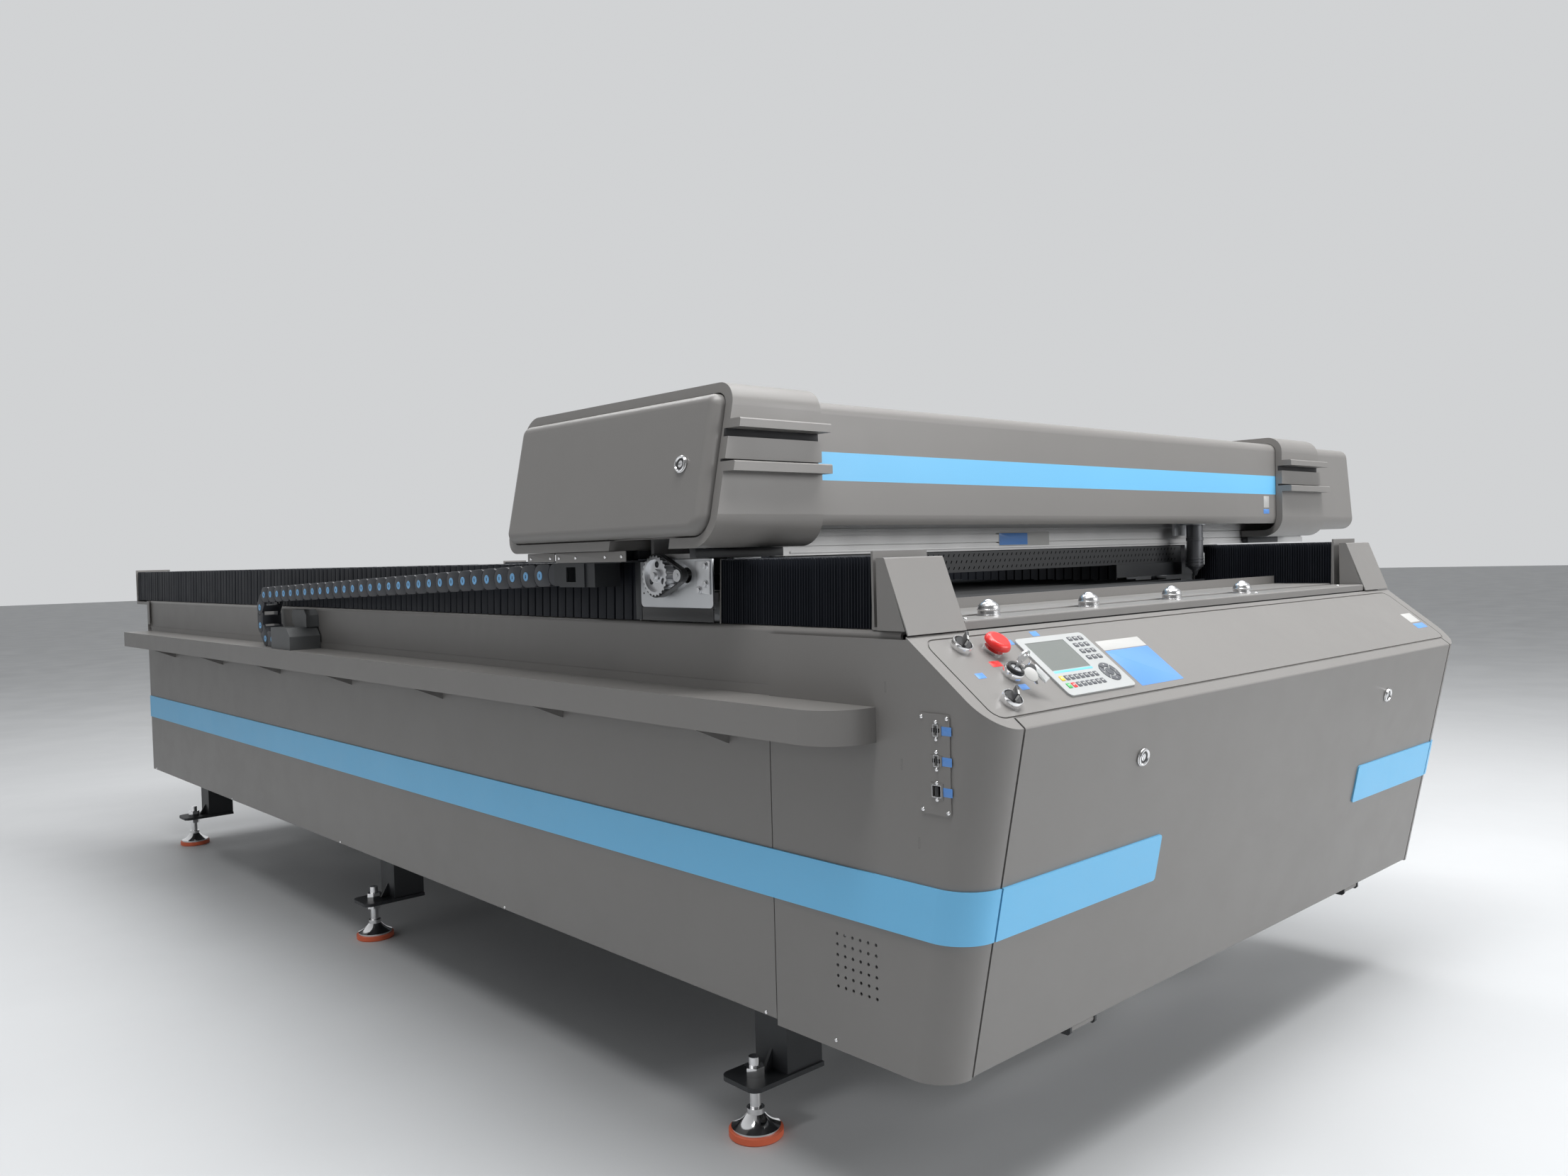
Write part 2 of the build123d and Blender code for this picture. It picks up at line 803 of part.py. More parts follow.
def key_rotor():
    """The key switch's turning barrel with the key in it."""
    place = desk_place(*key_switch_at)
    barrel = disc(knob_bore - fit_gap, -24, bezel_height + 8, place)
    blade = place * Pos(0, 0, bezel_height + 14) * Box(8, 2, 14)
    bow = extrude(Plane.XZ * (Circle(11) - Pos(0, 5) * Circle(3)), 1, both=True)
    return barrel + blade + place * Pos(0, 0, bezel_height + 29) * bow


def deck_plate():
    """Top plate in front of the table, lipped at the front, turned up at the back."""
    far = table_front - panel
    near = deck_front - 4
    points = [(near, desk_top + 2), (near, deck_top), (far, deck_top), (far, deck_top + 20)]
    section = bent_strip(points[::-1], panel, panel + 0.5)
    low = beam_inset + beam_width
    return along_x(section, low, body_width - low)


def ball_place(index):
    """Centre of a ball in the row on the deck."""
    return Pos(ball_first + ball_pitch * index, ball_row, deck_top + 15)


def ball_cups():
    """Turned housings of the ball transfers, each with its flange and socket."""
    below = -15.0
    profile = area(
        (4, below), (17.5, below), (17.5, below + 3), (14.5, below + 4),
        (14.5, 0), (12.5, 3.5), (8, 3.5), (8, -8),
        (4, -8),
    )
    cup = revolve(Plane.XZ * profile, Axis.Z)
    cup -= Sphere(ball_radius + fit_gap)
    return group([ball_place(i) * cup for i in range(ball_count)])


def rail_end_covers():
    """Front covers of the rails, bellows end plates, and the brackets behind the body."""
    low, high = beam_inset - 6, beam_inset + beam_width - 2
    foot = desk_top + 2
    top = 958.0
    nose = 146.0
    crown = 187.0
    back = 202.0
    front = bent_strip([(back, top), (crown, top), (nose, foot)], panel, 3)
    cover = along_x(front, low, high)
    rest = beam_top + fit_gap
    cheek = area((crown, top - panel), (back, top - panel), (back, rest), (nose + panel + 4, rest))
    cover += along_x(cheek, low, low + panel) + along_x(cheek, high - panel, high)
    end = bellows_front_start
    plate = block((low + 8, high - 2), (end - 4 - fit_gap, end - fit_gap), (beam_top, bellows_top + 3))
    plate += block((low + 8, high - 2), (back - 6, end - 4), (beam_top, beam_top + 4))
    rear = bellows_rear_end + fit_gap
    bracket = block((low + 8, high - 2), (rear, rear + 4), (beam_top - 14, bellows_top + 3))
    shelf = block((low + 8, high - 2), (skirt_rear, rear), (beam_top - 14, beam_top - 4))
    pieces = [cover, plate, bracket + shelf]
    return group(pieces + [mirrored(piece) for piece in pieces])


def bellows_ring(y, depth):
    """Bridge-shaped section of a bellows, with its outer side drawn in by depth."""
    half, core = bellows_width / 2, bellows_core_width / 2
    top, inside = bellows_height, bellows_core_height
    points = [
        (-half + depth, 0), (-half + depth, top - depth), (half - depth, top - depth), (half - depth, 0),
        (core, 0), (core, inside), (-core, inside), (-core, 0),
    ]
    plane = Plane(origin=(rail_centre, y, bellows_bottom), x_dir=(1, 0, 0), z_dir=(0, -1, 0))
    return plane * area(*points)


def bellows(start, end, pleats):
    """A pleated cover between two planes, its folds running over the top and both sides."""
    half_pitch = (end - start) / (2 * pleats)
    rings = []
    for i in range(2 * pleats + 1):
        rings.append(bellows_ring(start + half_pitch * i, 0 if i % 2 == 0 else pleat_depth))
    piece = loft(rings, ruled=True)
    return group([piece, mirrored(piece)])


def front_bellows():
    """The closed-up bellows between the front covers and the gantry."""
    return bellows(bellows_front_start, carriage_front - 3 - fit_gap, front_pleats)


def rear_bellows():
    """The drawn-out bellows between the gantry and the rear brackets."""
    return bellows(carriage_rear + 3 + fit_gap, bellows_rear_end, rear_pleats)


# Cable chain


def chain_tray():
    """The shelf that carries the cable chain, with its rounded front end and its gussets."""
    outline = area(
        (0, tray_rear), (-tray_reach, tray_rear), (-tray_reach, tray_front), (0, tray_front)
    )
    outline = fillet(outline.vertices().sort_by(Axis.Y)[:2].sort_by(Axis.X)[0], 70)
    low = tray_top - tray_flange
    tray = along_z(outline, low, tray_top)
    left, front, rear = panel - tray_reach, tray_front + panel, tray_rear + 5
    inner = area((5, rear), (left, rear), (left, front), (5, front))
    inner = fillet(inner.vertices().sort_by(Axis.Y)[:2].sort_by(Axis.X)[0], 68)
    tray -= along_z(inner, low - 1, tray_top - panel)
    ledge_start = corner_panel_depth + panel_seam
    tray += block((-1, 7), (ledge_start, tray_rear), (tray_top - panel, tray_top))
    tray += block((5, 7), (ledge_start, tray_rear), (tray_top - panel, beam_bottom + 10))
    for i in range(gusset_count):
        y = gusset_first + gusset_pitch * i
        rib = area((0, tray_top - panel), (0, gusset_foot), (left + 1, low + 2), (left + 1, tray_top - panel))
        tray += along_y(rib, y - 1.5, y + 1.5)
    return tray


def link_section():
    """Side view of one chain link, cut back below its pivots so that the chain can bend."""
    half = chain_height / 2
    nip = 3.0
    cut = half * tan(radians(chain_turn / 2)) + fit_gap
    near, far = -fit_gap / 2, fit_gap / 2 - chain_pitch
    return area(
        (near, half - nip), (near - nip, half), (far + nip, half), (far, half - nip),
        (far, 0), (far + cut, -half), (near - cut, -half), (near, 0),
    )


def chain_link(y, z, turn):
    """One link whose rear pivot is at y and z, turned about it by an angle in degrees."""
    solid = along_x(link_section(), chain_outer, chain_outer + chain_width)
    return Pos(0, y, z) * Rot(turn, 0, 0) * solid


def chain_upper():
    """The run of links from the gantry back to the bend, sloping gently down."""
    drop = chain_start_height - chain_high
    slope = degrees(atan2(drop, chain_links * chain_pitch))
    links = []
    for i in range(chain_links):
        share = (i + 1) / chain_links
        y = chain_start + (chain_end - chain_start) * share
        links.append(chain_link(y, chain_start_height - drop * share, -slope))
    return group(links)


def chain_bend():
    """The links that turn the chain back under itself."""
    links = []
    y, z = chain_end, chain_high
    for i in range(chain_bend_links):
        turn = radians(-chain_turn * (i + 1))
        y += chain_pitch * cos(turn)
        z += chain_pitch * sin(turn)
        links.append(chain_link(y, z, degrees(turn)))
    return group(links)


def chain_lower():
    """The links that lie on the tray up to the anchor."""
    links = []
    for i in range(chain_lower_links):
        links.append(chain_link(chain_end - chain_pitch * (i + 1), chain_low, 180))
    return group(links)


anchor_length = 131.0
anchor_top = tray_top + 56


def chain_anchor():
    """The fixed end's cover on the tray, and the duct that takes the cables into the beam."""
    rear = chain_end - chain_lower_links * chain_pitch - fit_gap
    front = rear - anchor_length
    box = area(
        (front, tray_top),
        (rear, tray_top),
        (rear, anchor_top),
        (front + 22, anchor_top),
        (front, anchor_top - 22),
    )
    outer = chain_outer - 19
    cover = along_x(box, outer, beam_inset - 3.5)
    duct = area(
        (front + 16, anchor_top), (rear - 30, anchor_top), (rear - 16, anchor_top + 16),
        (rear - 16, beam_top - 14), (rear - 26, beam_top - 4),
        (front + 30, beam_top - 4), (front + 16, beam_top - 18),
    )
    return cover + along_x(duct, -24, beam_inset)


# Worktable and cabinet


def slat_rows():
    """Places of the table's slats along the bed."""
    margin = 40.0
    count = int((table_rear - table_front - 2 * margin) // slat_pitch) + 1
    return [table_front + margin + slat_pitch * i for i in range(count)]


table_margin = beam_inset + beam_width


def worktable_slats():
    """Aluminium knife slats with bevelled top edges, standing on the side angles."""
    low = table_top - slat_height
    slats = []
    for y in slat_rows():
        half, shoulder = slat_thickness / 2, table_top - 5
        near, far = y - half, y + half
        section = area((near, low), (far, low), (far, shoulder), (y, table_top), (near, shoulder))
        slats.append(along_x(section, table_margin + 12, body_width - table_margin - 12))
    return group(slats)


def worktable_frame():
    """Side angles, middle bars and end bars that carry the slats, with the trough below."""
    rest = table_top - slat_height
    near, far = table_margin, body_width - table_margin
    angle = area(
        (near, rest), (near, rest - 40), (near + 4, rest - 40), (near + 4, rest - 4), (near + 40, rest - 4),
        (near + 40, rest),
    )
    side = along_y(angle, table_front, table_rear)
    pieces = [side, mirrored(side), extraction_tray()]
    for x in (near + (far - near) / 3, near + 2 * (far - near) / 3):
        pieces.append(block((x - 15, x + 15), (table_front + 4, table_rear - 4), (rest - 50, rest)))
    for start in (table_front, table_rear - 4):
        pieces.append(block((near + 4, far - 4), (start, start + 4), (rest - 90, rest - 50)))
    return group(pieces)


def extraction_tray():
    """Sloped sheet trough under the table that leads smoke and scrap to the exhaust."""
    near, far = table_margin + 4, body_width - table_margin - 4
    rest = table_top - slat_height - 4
    middle = body_width / 2
    floor = 470.0
    fall = rest - 120
    line = [
        (near, rest), (near, fall), (middle - 200, floor),
        (middle + 200, floor), (far, fall), (far, rest),
    ]
    return along_y(bent_strip(line, panel, 12), leg_first, table_rear - 90)


io_thickness = 2.0


def io_plate():
    """Socket plate on the left corner with its ports and four screws."""
    low_y, high_y, low_z, high_z = io_cut
    edge = 4.5
    face = block((-io_thickness, 0), (low_y - edge, high_y + edge), (low_z - edge, high_z + edge))
    face = fillet([e for e in face.edges().filter_by(Axis.X)], 4)
    for offset_z, wide, tall in ((17, 13, 6), (57, 13, 6), (97, 15, 14)):
        z = high_z - offset_z
        y = (low_y + high_y) / 2 - 3
        half_wide, half_tall = wide / 2 + 3, tall / 2 + 4
        face += block((-io_thickness - 1, 24), (y - half_wide, y + half_wide), (z - half_tall, z + half_tall))
        face -= block((-6, 18), (y - wide / 2, y + wide / 2), (z - tall / 2, z + tall / 2))
    return face


def cabinet_units():
    """Laser power supply, controller and two drivers on the plate that faces the door."""
    face = leg_first - tube / 2 - 3
    low = 250.0
    units = [block((low, body_width - low), (face, face + 3), (base_tube_top - 40, 700))]
    power_supply, controller, driver = (300, 330, 140, 200), (690, 150, 90, 220), (880, 110, 100, 190)
    for x, wide, deep, tall in (power_supply, controller, driver, (1020, *driver[1:])):
        solid = block((x, x + wide), (face - deep, face), (420, 420 + tall))
        rim = [e for e in solid.edges().filter_by(Axis.Z) if e.center().Y < face - 20]
        units.append(fillet(rim, 6))
    return group(units)


# Gantry


def gantry_section(inset):
    """End view of the gantry's covers, drawn in by an inset, with rounded corners."""
    outline = area(
        (gantry_front, gantry_bottom),
        (gantry_rear, gantry_bottom),
        (gantry_rear, gantry_top),
        (gantry_front, gantry_top),
    )
    corners = outline.vertices().sort_by(Axis.X)
    front = corners[:2].sort_by(Axis.Y)
    back = corners[2:].sort_by(Axis.Y)
    outline = fillet([front[0]], collar_bottom_radius)
    corners = outline.vertices()
    top_front = min(corners, key=lambda v: hypot(v.X - gantry_front, v.Y - gantry_top))
    outline = fillet([top_front], collar_top_radius)
    rear = [v for v in outline.vertices() if abs(v.X - gantry_rear) < 0.01]
    outline = fillet(rear, collar_top_radius)
    return offset(outline, amount=-inset) if inset else outline


def slab_between(side, near, far):
    """A slab between two end planes, both leaning outwards towards the bottom on that side."""
    middle, reach = (gantry_top + gantry_bottom) / 2, 300.0
    shift = side * end_tilt * reach
    points = [(near + shift, middle - reach), (near - shift, middle + reach)]
    points += [(far - shift, middle + reach), (far + shift, middle - reach)]
    return along_y(area(*points), 0, 1600)


fin_reach = 24.0
upper_fin = (gantry_bottom + 0.71 * gantry_height, gantry_bottom + 0.765 * gantry_height)
upper_groove = (gantry_bottom + 0.66 * gantry_height, upper_fin[0])
lower_fin = (gantry_bottom + 0.45 * gantry_height, gantry_bottom + 0.51 * gantry_height)
lower_groove = (lower_fin[1], gantry_bottom + 0.526 * gantry_height)
groove_depth = 11.0


def underside_opening():
    """Section of the slot in the covers' underside that the cross beam stands in."""
    front, rear = alloy_beam_front - 3, alloy_beam_front + alloy_beam_depth + 10
    low, high = gantry_bottom - 1, gantry_bottom + collar_wall + 5
    return area((front, low), (rear, low), (rear, high), (front, high))


def collar(start, end):
    """A heavy clamp-shaped cover: a thick rounded wall with two fins and two grooves in front."""
    ring = gantry_section(0) - gantry_section(collar_wall)
    ring -= underside_opening()
    for low, high in (upper_fin, lower_fin):
        ring += area(
            (gantry_front - fin_reach, low), (gantry_front + 4, low), (gantry_front + 4, high),
            (gantry_front - fin_reach + 2, high), (gantry_front - fin_reach, high - 2),
        )
    for low, high in (upper_groove, lower_groove):
        ring -= area(
            (gantry_front - 1, low), (gantry_front + groove_depth, low), (gantry_front + groove_depth, high),
            (gantry_front - 1, high),
        )
    return along_x(ring, start, end)


pan_gap = 2.5
landing = 30.0
landing_depth = 10.3
landing_sheet = 3.0
pan_knuckle = 4.5
pan_pin = 2.5
pan_knuckle_rows = (-0.28 * gantry_height, 0.28 * gantry_height)
pan_knuckle_length = 36.0
pan_axis_out = 4.0
pan_axis_in = 5.5
lug_round = 3.0
lug_width = 4.0
pan_shoulder = 16.0


def end_frame(end, side):
    """Local frame of an end plane: X out of it, Z up along its lean, Y along the gantry's depth."""
    middle = (gantry_top + gantry_bottom) / 2
    up = (-side * end_tilt, 0, 1)
    out = (side, 0, end_tilt)
    return Plane(origin=(end, 0, middle), x_dir=out, z_dir=up)


def pan_axis(end, side, rear, along, length, radius):
    """A round bar on a pan's hinge line, centred at a distance along it."""
    axis = Pos(pan_axis_out, side * (rear - pan_axis_in), along)
    return end_frame(end, side) * axis * Cylinder(radius, length)


def lug_rows():
    """Middles of the lugs beside the knuckles, along the lean of an end."""
    reach = pan_knuckle_length / 2 + fit_gap + lug_width / 2
    return [row + way * reach for row in pan_knuckle_rows for way in (-1, 1)]


def landing_frame(end, side, wall):
    """Flange round the inside of an open end, with the lugs and pins that hold its cover."""
    outline = gantry_section(wall) - gantry_section(wall + landing)
    near = end - side * landing_depth
    far = near - side * landing_sheet
    solid = along_x(outline, min(near, end) - 150, max(near, end) + 150) & slab_between(side, near, far)
    rear = gantry_rear - wall - pan_gap
    for along in lug_rows():
        lug = Pos((pan_axis_out - landing_depth - 1) / 2, side * (rear - pan_axis_in - 4.5), along)
        solid += end_frame(end, side) * lug * Box(pan_axis_out + landing_depth + 1, 8, lug_width)
        solid += pan_axis(end, side, rear, along, lug_width, lug_round)
    for along in pan_knuckle_rows:
        solid += pan_axis(end, side, rear, along, pan_knuckle_length + 2 * lug_width, pan_pin)
    return solid


def gantry_collars():
    """Left and right collars, the left one with the frame that its end cover closes on."""
    left = collar(left_collar_end - 90, left_collar_inner) & slab_between(-1, left_collar_end, 400)
    right = collar(right_collar_inner, right_collar_end + 90) & slab_between(1, 1500, right_collar_end)
    return group([left + landing_frame(left_collar_end, -1, collar_wall), right])


cover_wall = 2.5
cover_gap = 1.0
housing_wall = collar_wall + cover_gap + cover_wall


def cover_section():
    """Thin shell inside the collars' walls, open along its underside for the head."""
    outer = gantry_section(collar_wall + cover_gap)
    shell = outer - offset(outer, amount=-cover_wall)
    slot = area(
        (gantry_front, gantry_bottom), (gantry_rear - 60, gantry_bottom), (gantry_rear - 60, cover_bottom),
        (gantry_front, cover_bottom),
    )
    return shell - slot


def beam_cover():
    """Long cover between the collars, and the housing at the right end."""
    front = gantry_front + collar_wall + cover_gap
    band = area(
        (front - 1, cover_band_bottom), (front + 1, cover_band_bottom), (front + 1, cover_band_top),
        (front - 1, cover_band_top),
    )
    inside = 40.0
    main = along_x(cover_section() - band, left_collar_inner - inside, right_collar_inner + inside)
    start = right_collar_end - 90
    outer = gantry_section(collar_wall + cover_gap)
    shell = outer - offset(outer, amount=-cover_wall) - underside_opening()
    housing = along_x(shell, start, right_housing_end + 90) & slab_between(1, start - 400, right_housing_end)
    return group([main, housing + landing_frame(right_housing_end, 1, housing_wall)])


def cover_band():
    """Blue strip let into the front of the long cover."""
    surface = gantry_front + collar_wall + cover_gap
    return block(
        (left_collar_inner + fit_gap, right_collar_inner - fit_gap), (surface, surface + 1),
        (cover_band_bottom, cover_band_top),
    )


def outer_rim(solid, side, far):
    """The edges of a slab's outer face, on the leaning plane through far."""
    rim = []
    for edge in solid.edges():
        centre = edge.center()
        face_x = far + side * end_tilt * ((gantry_top + gantry_bottom) / 2 - centre.Z)
        if abs(centre.X - face_x) < 0.5:
            rim.append(edge)
    return rim


def pan_room(inset, side, near, far):
    """The hollow of an end cover, its shoulder rounded like the outside."""
    start, stop = sorted((near - 150 * side, far + 150 * side))
    room = along_x(gantry_section(inset), start, stop) & slab_between(side, near, far)
    return fillet(outer_rim(room, side, far), pan_shoulder - panel)


def end_pan(end, side, wall):
    """A shallow end cover with a rounded rim, let into the open end that it closes."""
    inset = wall + pan_gap
    inside = landing_depth - fit_gap
    start, stop = sorted((end - 150 * side, end + 150 * side))
    near, far = end - side * inside, end + side * pan_depth
    blank = along_x(gantry_section(inset), start, stop) & slab_between(side, near, far)
    blank = fillet(outer_rim(blank, side, far), pan_shoulder)
    blank -= pan_room(inset + panel, side, near - 20 * side, far - side * panel)
    hinge_side = gantry_rear - inset - 14
    lip = block((start, stop), (hinge_side, gantry_rear), (gantry_bottom, gantry_top))
    blank -= lip & slab_between(side, near - 20 * side, end + side * fit_gap)
    depth = 20 + pan_axis_out + fit_gap
    for along in lug_rows():
        notch = Pos(depth / 2 - 20, side * (gantry_rear - inset - 4), along)
        blank -= end_frame(end, side) * notch * Box(depth, 10, lug_width + 2 * fit_gap)
    for along in pan_knuckle_rows:
        blank += pan_axis(end, side, gantry_rear - inset, along, pan_knuckle_length, pan_knuckle)
        blank -= pan_axis(end, side, gantry_rear - inset, along, pan_knuckle_length + 1, pan_pin + fit_gap)
    return blank


pan_lock_height = gantry_bottom + 0.51 * gantry_height
pan_lock_from_front = 79.0


def pan_lock_place(end, side):
    """Where the lock stands on an end cover, with local Z pointing out of it."""
    x = end + side * (pan_depth + end_tilt * ((gantry_top + gantry_bottom) / 2 - pan_lock_height))
    tilt = degrees(atan2(end_tilt, 1))
    return Pos(x, gantry_front + pan_lock_from_front, pan_lock_height) * Rot(0, side * (90 - tilt), 0)


def end_pans():
    """Left and right end covers with their lock holes."""
    left = end_pan(left_collar_end, -1, collar_wall)
    left -= disc(lock_bore, -20, 10, pan_lock_place(left_collar_end, -1))
    right = end_pan(right_housing_end, 1, housing_wall)
    right -= disc(lock_bore, -20, 10, pan_lock_place(right_housing_end, 1))
    return left, right


def pan_locks():
    """Left and right locks of the end covers, their cams behind the landing frames."""
    grip = pan_depth + landing_depth + landing_sheet + cam_gap + 2 - 10
    left = cam_lock(pan_lock_place(left_collar_end, -1), grip, -1)
    right = cam_lock(pan_lock_place(right_housing_end, 1), grip, -1)
    return left, right


def gantry_beam():
    """Hollow grooved cross beam with the head's guide, the covers' hangers and tube clamps."""
    front, rear = alloy_beam_front, alloy_beam_front + alloy_beam_depth
    low, high = alloy_beam_bottom, alloy_beam_bottom + alloy_beam_height
    outer = area((front, low), (rear, low), (rear, high), (front, high))
    inner = area((front + 10, low + 8), (rear - 8, low + 8), (rear - 8, high - 8), (front + 10, high - 8))
    section = outer - inner
    for z in (low + 14, low + 32):
        section -= area((front - 1, z), (front + 4, z), (front + 4, z + 2.5), (front - 1, z + 2.5))
    beam = along_x(section, 8, right_housing_end - 90)
    hangers = []
    collar_ceiling = gantry_top - collar_wall
    cover_ceiling = collar_ceiling - cover_gap - cover_wall
    middle = (left_collar_inner + right_collar_inner) / 2 + 67
    for x, top in ((40, collar_ceiling), (middle, cover_ceiling), (right_collar_inner + 60, collar_ceiling)):
        hangers.append(block((x, x + 40), (front + 20, rear - 20), (high, top)))
    return group([beam, head_guide()] + hangers + tube_supports())


head_guide_height = 1040.0
guide_left = 162.0
guide_right = body_width - 80


def head_guide():
    """Guide rail of the cutting head along the beam's front."""
    front = alloy_beam_front
    section = area(
        (front, head_guide_height - 10), (front, head_guide_height + 10), (front - 6, head_guide_height + 10),
        (front - 9, head_guide_height + 6), (front - 16, head_guide_height + 10),
        (front - 16, head_guide_height - 10),
        (front - 9, head_guide_height - 6), (front - 6, head_guide_height - 10),
    )
    return along_x(section, guide_left, guide_right)


saddle_top = 908.0
riser_left = 64.0
shaft_y = 678.0
shaft_z = 936.0
motor_size = 54.0
motor_y = alloy_beam_front + 17 + motor_size / 2


def carriages():
    """Bearing blocks, saddles and risers under the beam, shaft bearings and side plates."""
    half = guide_width / 2 + fit_gap
    low = beam_top + 4
    roof = beam_top + guide_height + fit_gap
    body = area(
        (rail_centre - 35, low), (rail_centre - half, low), (rail_centre - half, roof),
        (rail_centre + half, roof), (rail_centre + half, low), (rail_centre + 35, low),
        (rail_centre + 35, saddle_top - 16), (rail_centre - 35, saddle_top - 16),
    )
    far = rail_centre + 55
    piece = along_y(body, carriage_front + 12, carriage_front + 82)
    piece += along_y(body, carriage_rear - 82, carriage_rear - 12)
    piece += block((3, far), (carriage_front, carriage_rear), (saddle_top - 16, saddle_top))
    for start in (alloy_beam_front, alloy_beam_front + alloy_beam_depth - 17):
        piece += block((riser_left, far), (start, start + 17), (saddle_top, alloy_beam_bottom))
    plate = block((0, 3), (553, 746), (883, alloy_beam_bottom - 1))
    plate = fillet([e for e in plate.edges().filter_by(Axis.X) if e.center().Z < 900], 8)
    plate -= Pos(0, shaft_y, shaft_z) * Rot(0, 90, 0) * Cylinder(shaft_radius + fit_gap, 20)
    plate -= Pos(0, motor_y, shaft_z) * Rot(0, 90, 0) * Cylinder(13, 20)
    piece += plate
    bearing = block((60, 72), (656, 700), (saddle_top, shaft_z + 22))
    bearing -= Pos(66, shaft_y, shaft_z) * Rot(0, 90, 0) * Cylinder(shaft_radius + fit_gap, 20)
    shoe_top = belt_top - belt_thickness - fit_gap
    shoe = block((belt_left, belt_left + belt_width), (646, 710), (saddle_top, shoe_top))
    piece += bearing + shoe
    return group([piece, mirrored(piece)])


shaft_radius = 6.0
wheel_radius = 34.0
wheel_teeth = 24
tooth_depth = 2.5


def toothed_wheel():
    """The large reduction wheel: trapezoid teeth, dished web and three round windows."""
    points = []
    root = wheel_radius - tooth_depth
    pitch = 360 / wheel_teeth
    for i in range(wheel_teeth):
        for share, radius in ((0.0, wheel_radius), (0.3, wheel_radius), (0.45, root), (0.85, root)):
            angle = radians(pitch * (i + share))
            points.append((radius * cos(angle), radius * sin(angle)))
    wheel = extrude(area(*points), 18)
    wheel -= Pos(0, 0, 12) * extrude(Circle(wheel_radius - 7) - Circle(11), 7)
    wheel -= [Rot(0, 0, 120 * i) * Pos(18.5, 0, 0) * Cylinder(5.5, 40) for i in range(3)]
    return wheel


def on_axis(y, radius, start, end):
    """A round bar along X at the height of the drive shafts."""
    return Pos((start + end) / 2, y, shaft_z) * Rot(0, 90, 0) * Cylinder(radius, end - start)


def drive_shaft():
    """Cross shaft under the beam with its reduction wheel and a belt pulley over each rail."""
    shaft = on_axis(shaft_y, shaft_radius, -26, body_width - belt_left + 12)
    shaft += Pos(-4, shaft_y, shaft_z) * Rot(0, -90, 0) * toothed_wheel()
    pulley_radius = shaft_z - belt_top - fit_gap
    pulley = on_axis(shaft_y, pulley_radius, belt_left, belt_left + belt_width)
    return shaft + pulley + mirrored(pulley)


pinion_radius = 10.0


def motor_pinion():
    """The motor's shaft with its small pulley."""
    return on_axis(motor_y, 4, -22, riser_left + 2 - fit_gap) + on_axis(motor_y, pinion_radius, -21, -5)


def reduction_belt():
    """Closed belt round the motor's pulley and the reduction wheel."""
    small = Pos(motor_y, shaft_z) * Circle(pinion_radius + fit_gap)
    large = Pos(shaft_y, shaft_z) * Circle(wheel_radius + fit_gap)
    inner = make_hull(small.edges() + large.edges())
    return along_x(offset(inner, amount=2) - inner, -19, -7)


def drive_motor():
    """Square stepper motor on the left risers, with its reduction belt."""
    half = motor_size / 2
    low, high = shaft_z - half, shaft_z + half
    body = area((motor_y - half, low), (motor_y + half, low), (motor_y + half, high), (motor_y - half, high))
    body = chamfer(body.vertices(), 5)
    return group([along_x(body, riser_left + 2, rail_centre + 55), reduction_belt()])


def chain_bracket():
    """Plate under the gantry's left end that holds the moving end of the chain."""
    top = gantry_bottom
    arm = block((chain_outer - 5, -1.6), (716, 914), (top - 20, top - 17))
    arm += block((chain_outer - 5, -1.6), (750, 914), (top - 17, top))
    flank = (chain_outer - 5, chain_outer - 2)
    arm += block(flank, (828, chain_start - 25), (chain_start_height - 22, top - 17))
    arm += block((-8, -5), (800, chain_start - 25), (chain_start_height - 22, top - 17))
    arm += block((chain_outer - 2, -8), (800, 832), (chain_start_height - 22, top - 20))
    across = (chain_outer, chain_outer + chain_width)
    along = (chain_start - 49, chain_start - fit_gap)
    lug = block(across, along, (chain_start_height - 20, chain_start_height + 20))
    wide = (chain_outer - 8, chain_outer + chain_width + 8)
    window = block(wide, (855, 885), (chain_start_height - 13, chain_start_height + 13))
    return arm + lug - window


def beam_guard():
    """Thin sheet hung below the beam's front edge, with a deeper lip near the head's rest."""
    front, low = alloy_beam_front + 2, 921.0
    line = [(front + 40, alloy_beam_bottom), (front, alloy_beam_bottom), (front, low)]
    section = bent_strip(line, panel, 3)
    guard = along_x(section, guide_left + 18, guide_right - 60)
    rest = (head_x - 270, head_x + 20)
    lip = block(rest, (front - 13, front + panel), (low - panel, low + 1))
    lip += block(rest, (front - 13, front - 11), (low - 29, low))
    return guard + lip


tube_axis = (890.0, (gantry_bottom + gantry_top) / 2)
tube_radius = 40.0
tube_start = 190.0
tube_length = 1850.0
support_lap = 32.5


def laser_tube():
    """Sealed glass laser tube with its metal end caps."""
    y, z = tube_axis
    end = tube_start + tube_length
    glass = Pos((tube_start + end) / 2, y, z) * Rot(0, 90, 0) * Cylinder(tube_radius, tube_length - 60)
    near = Pos(tube_start + 15, y, z) * Rot(0, 90, 0) * Cylinder(28, 30)
    far = Pos(end - 15, y, z) * Rot(0, 90, 0) * Cylinder(28, 30)
    return glass + near + far


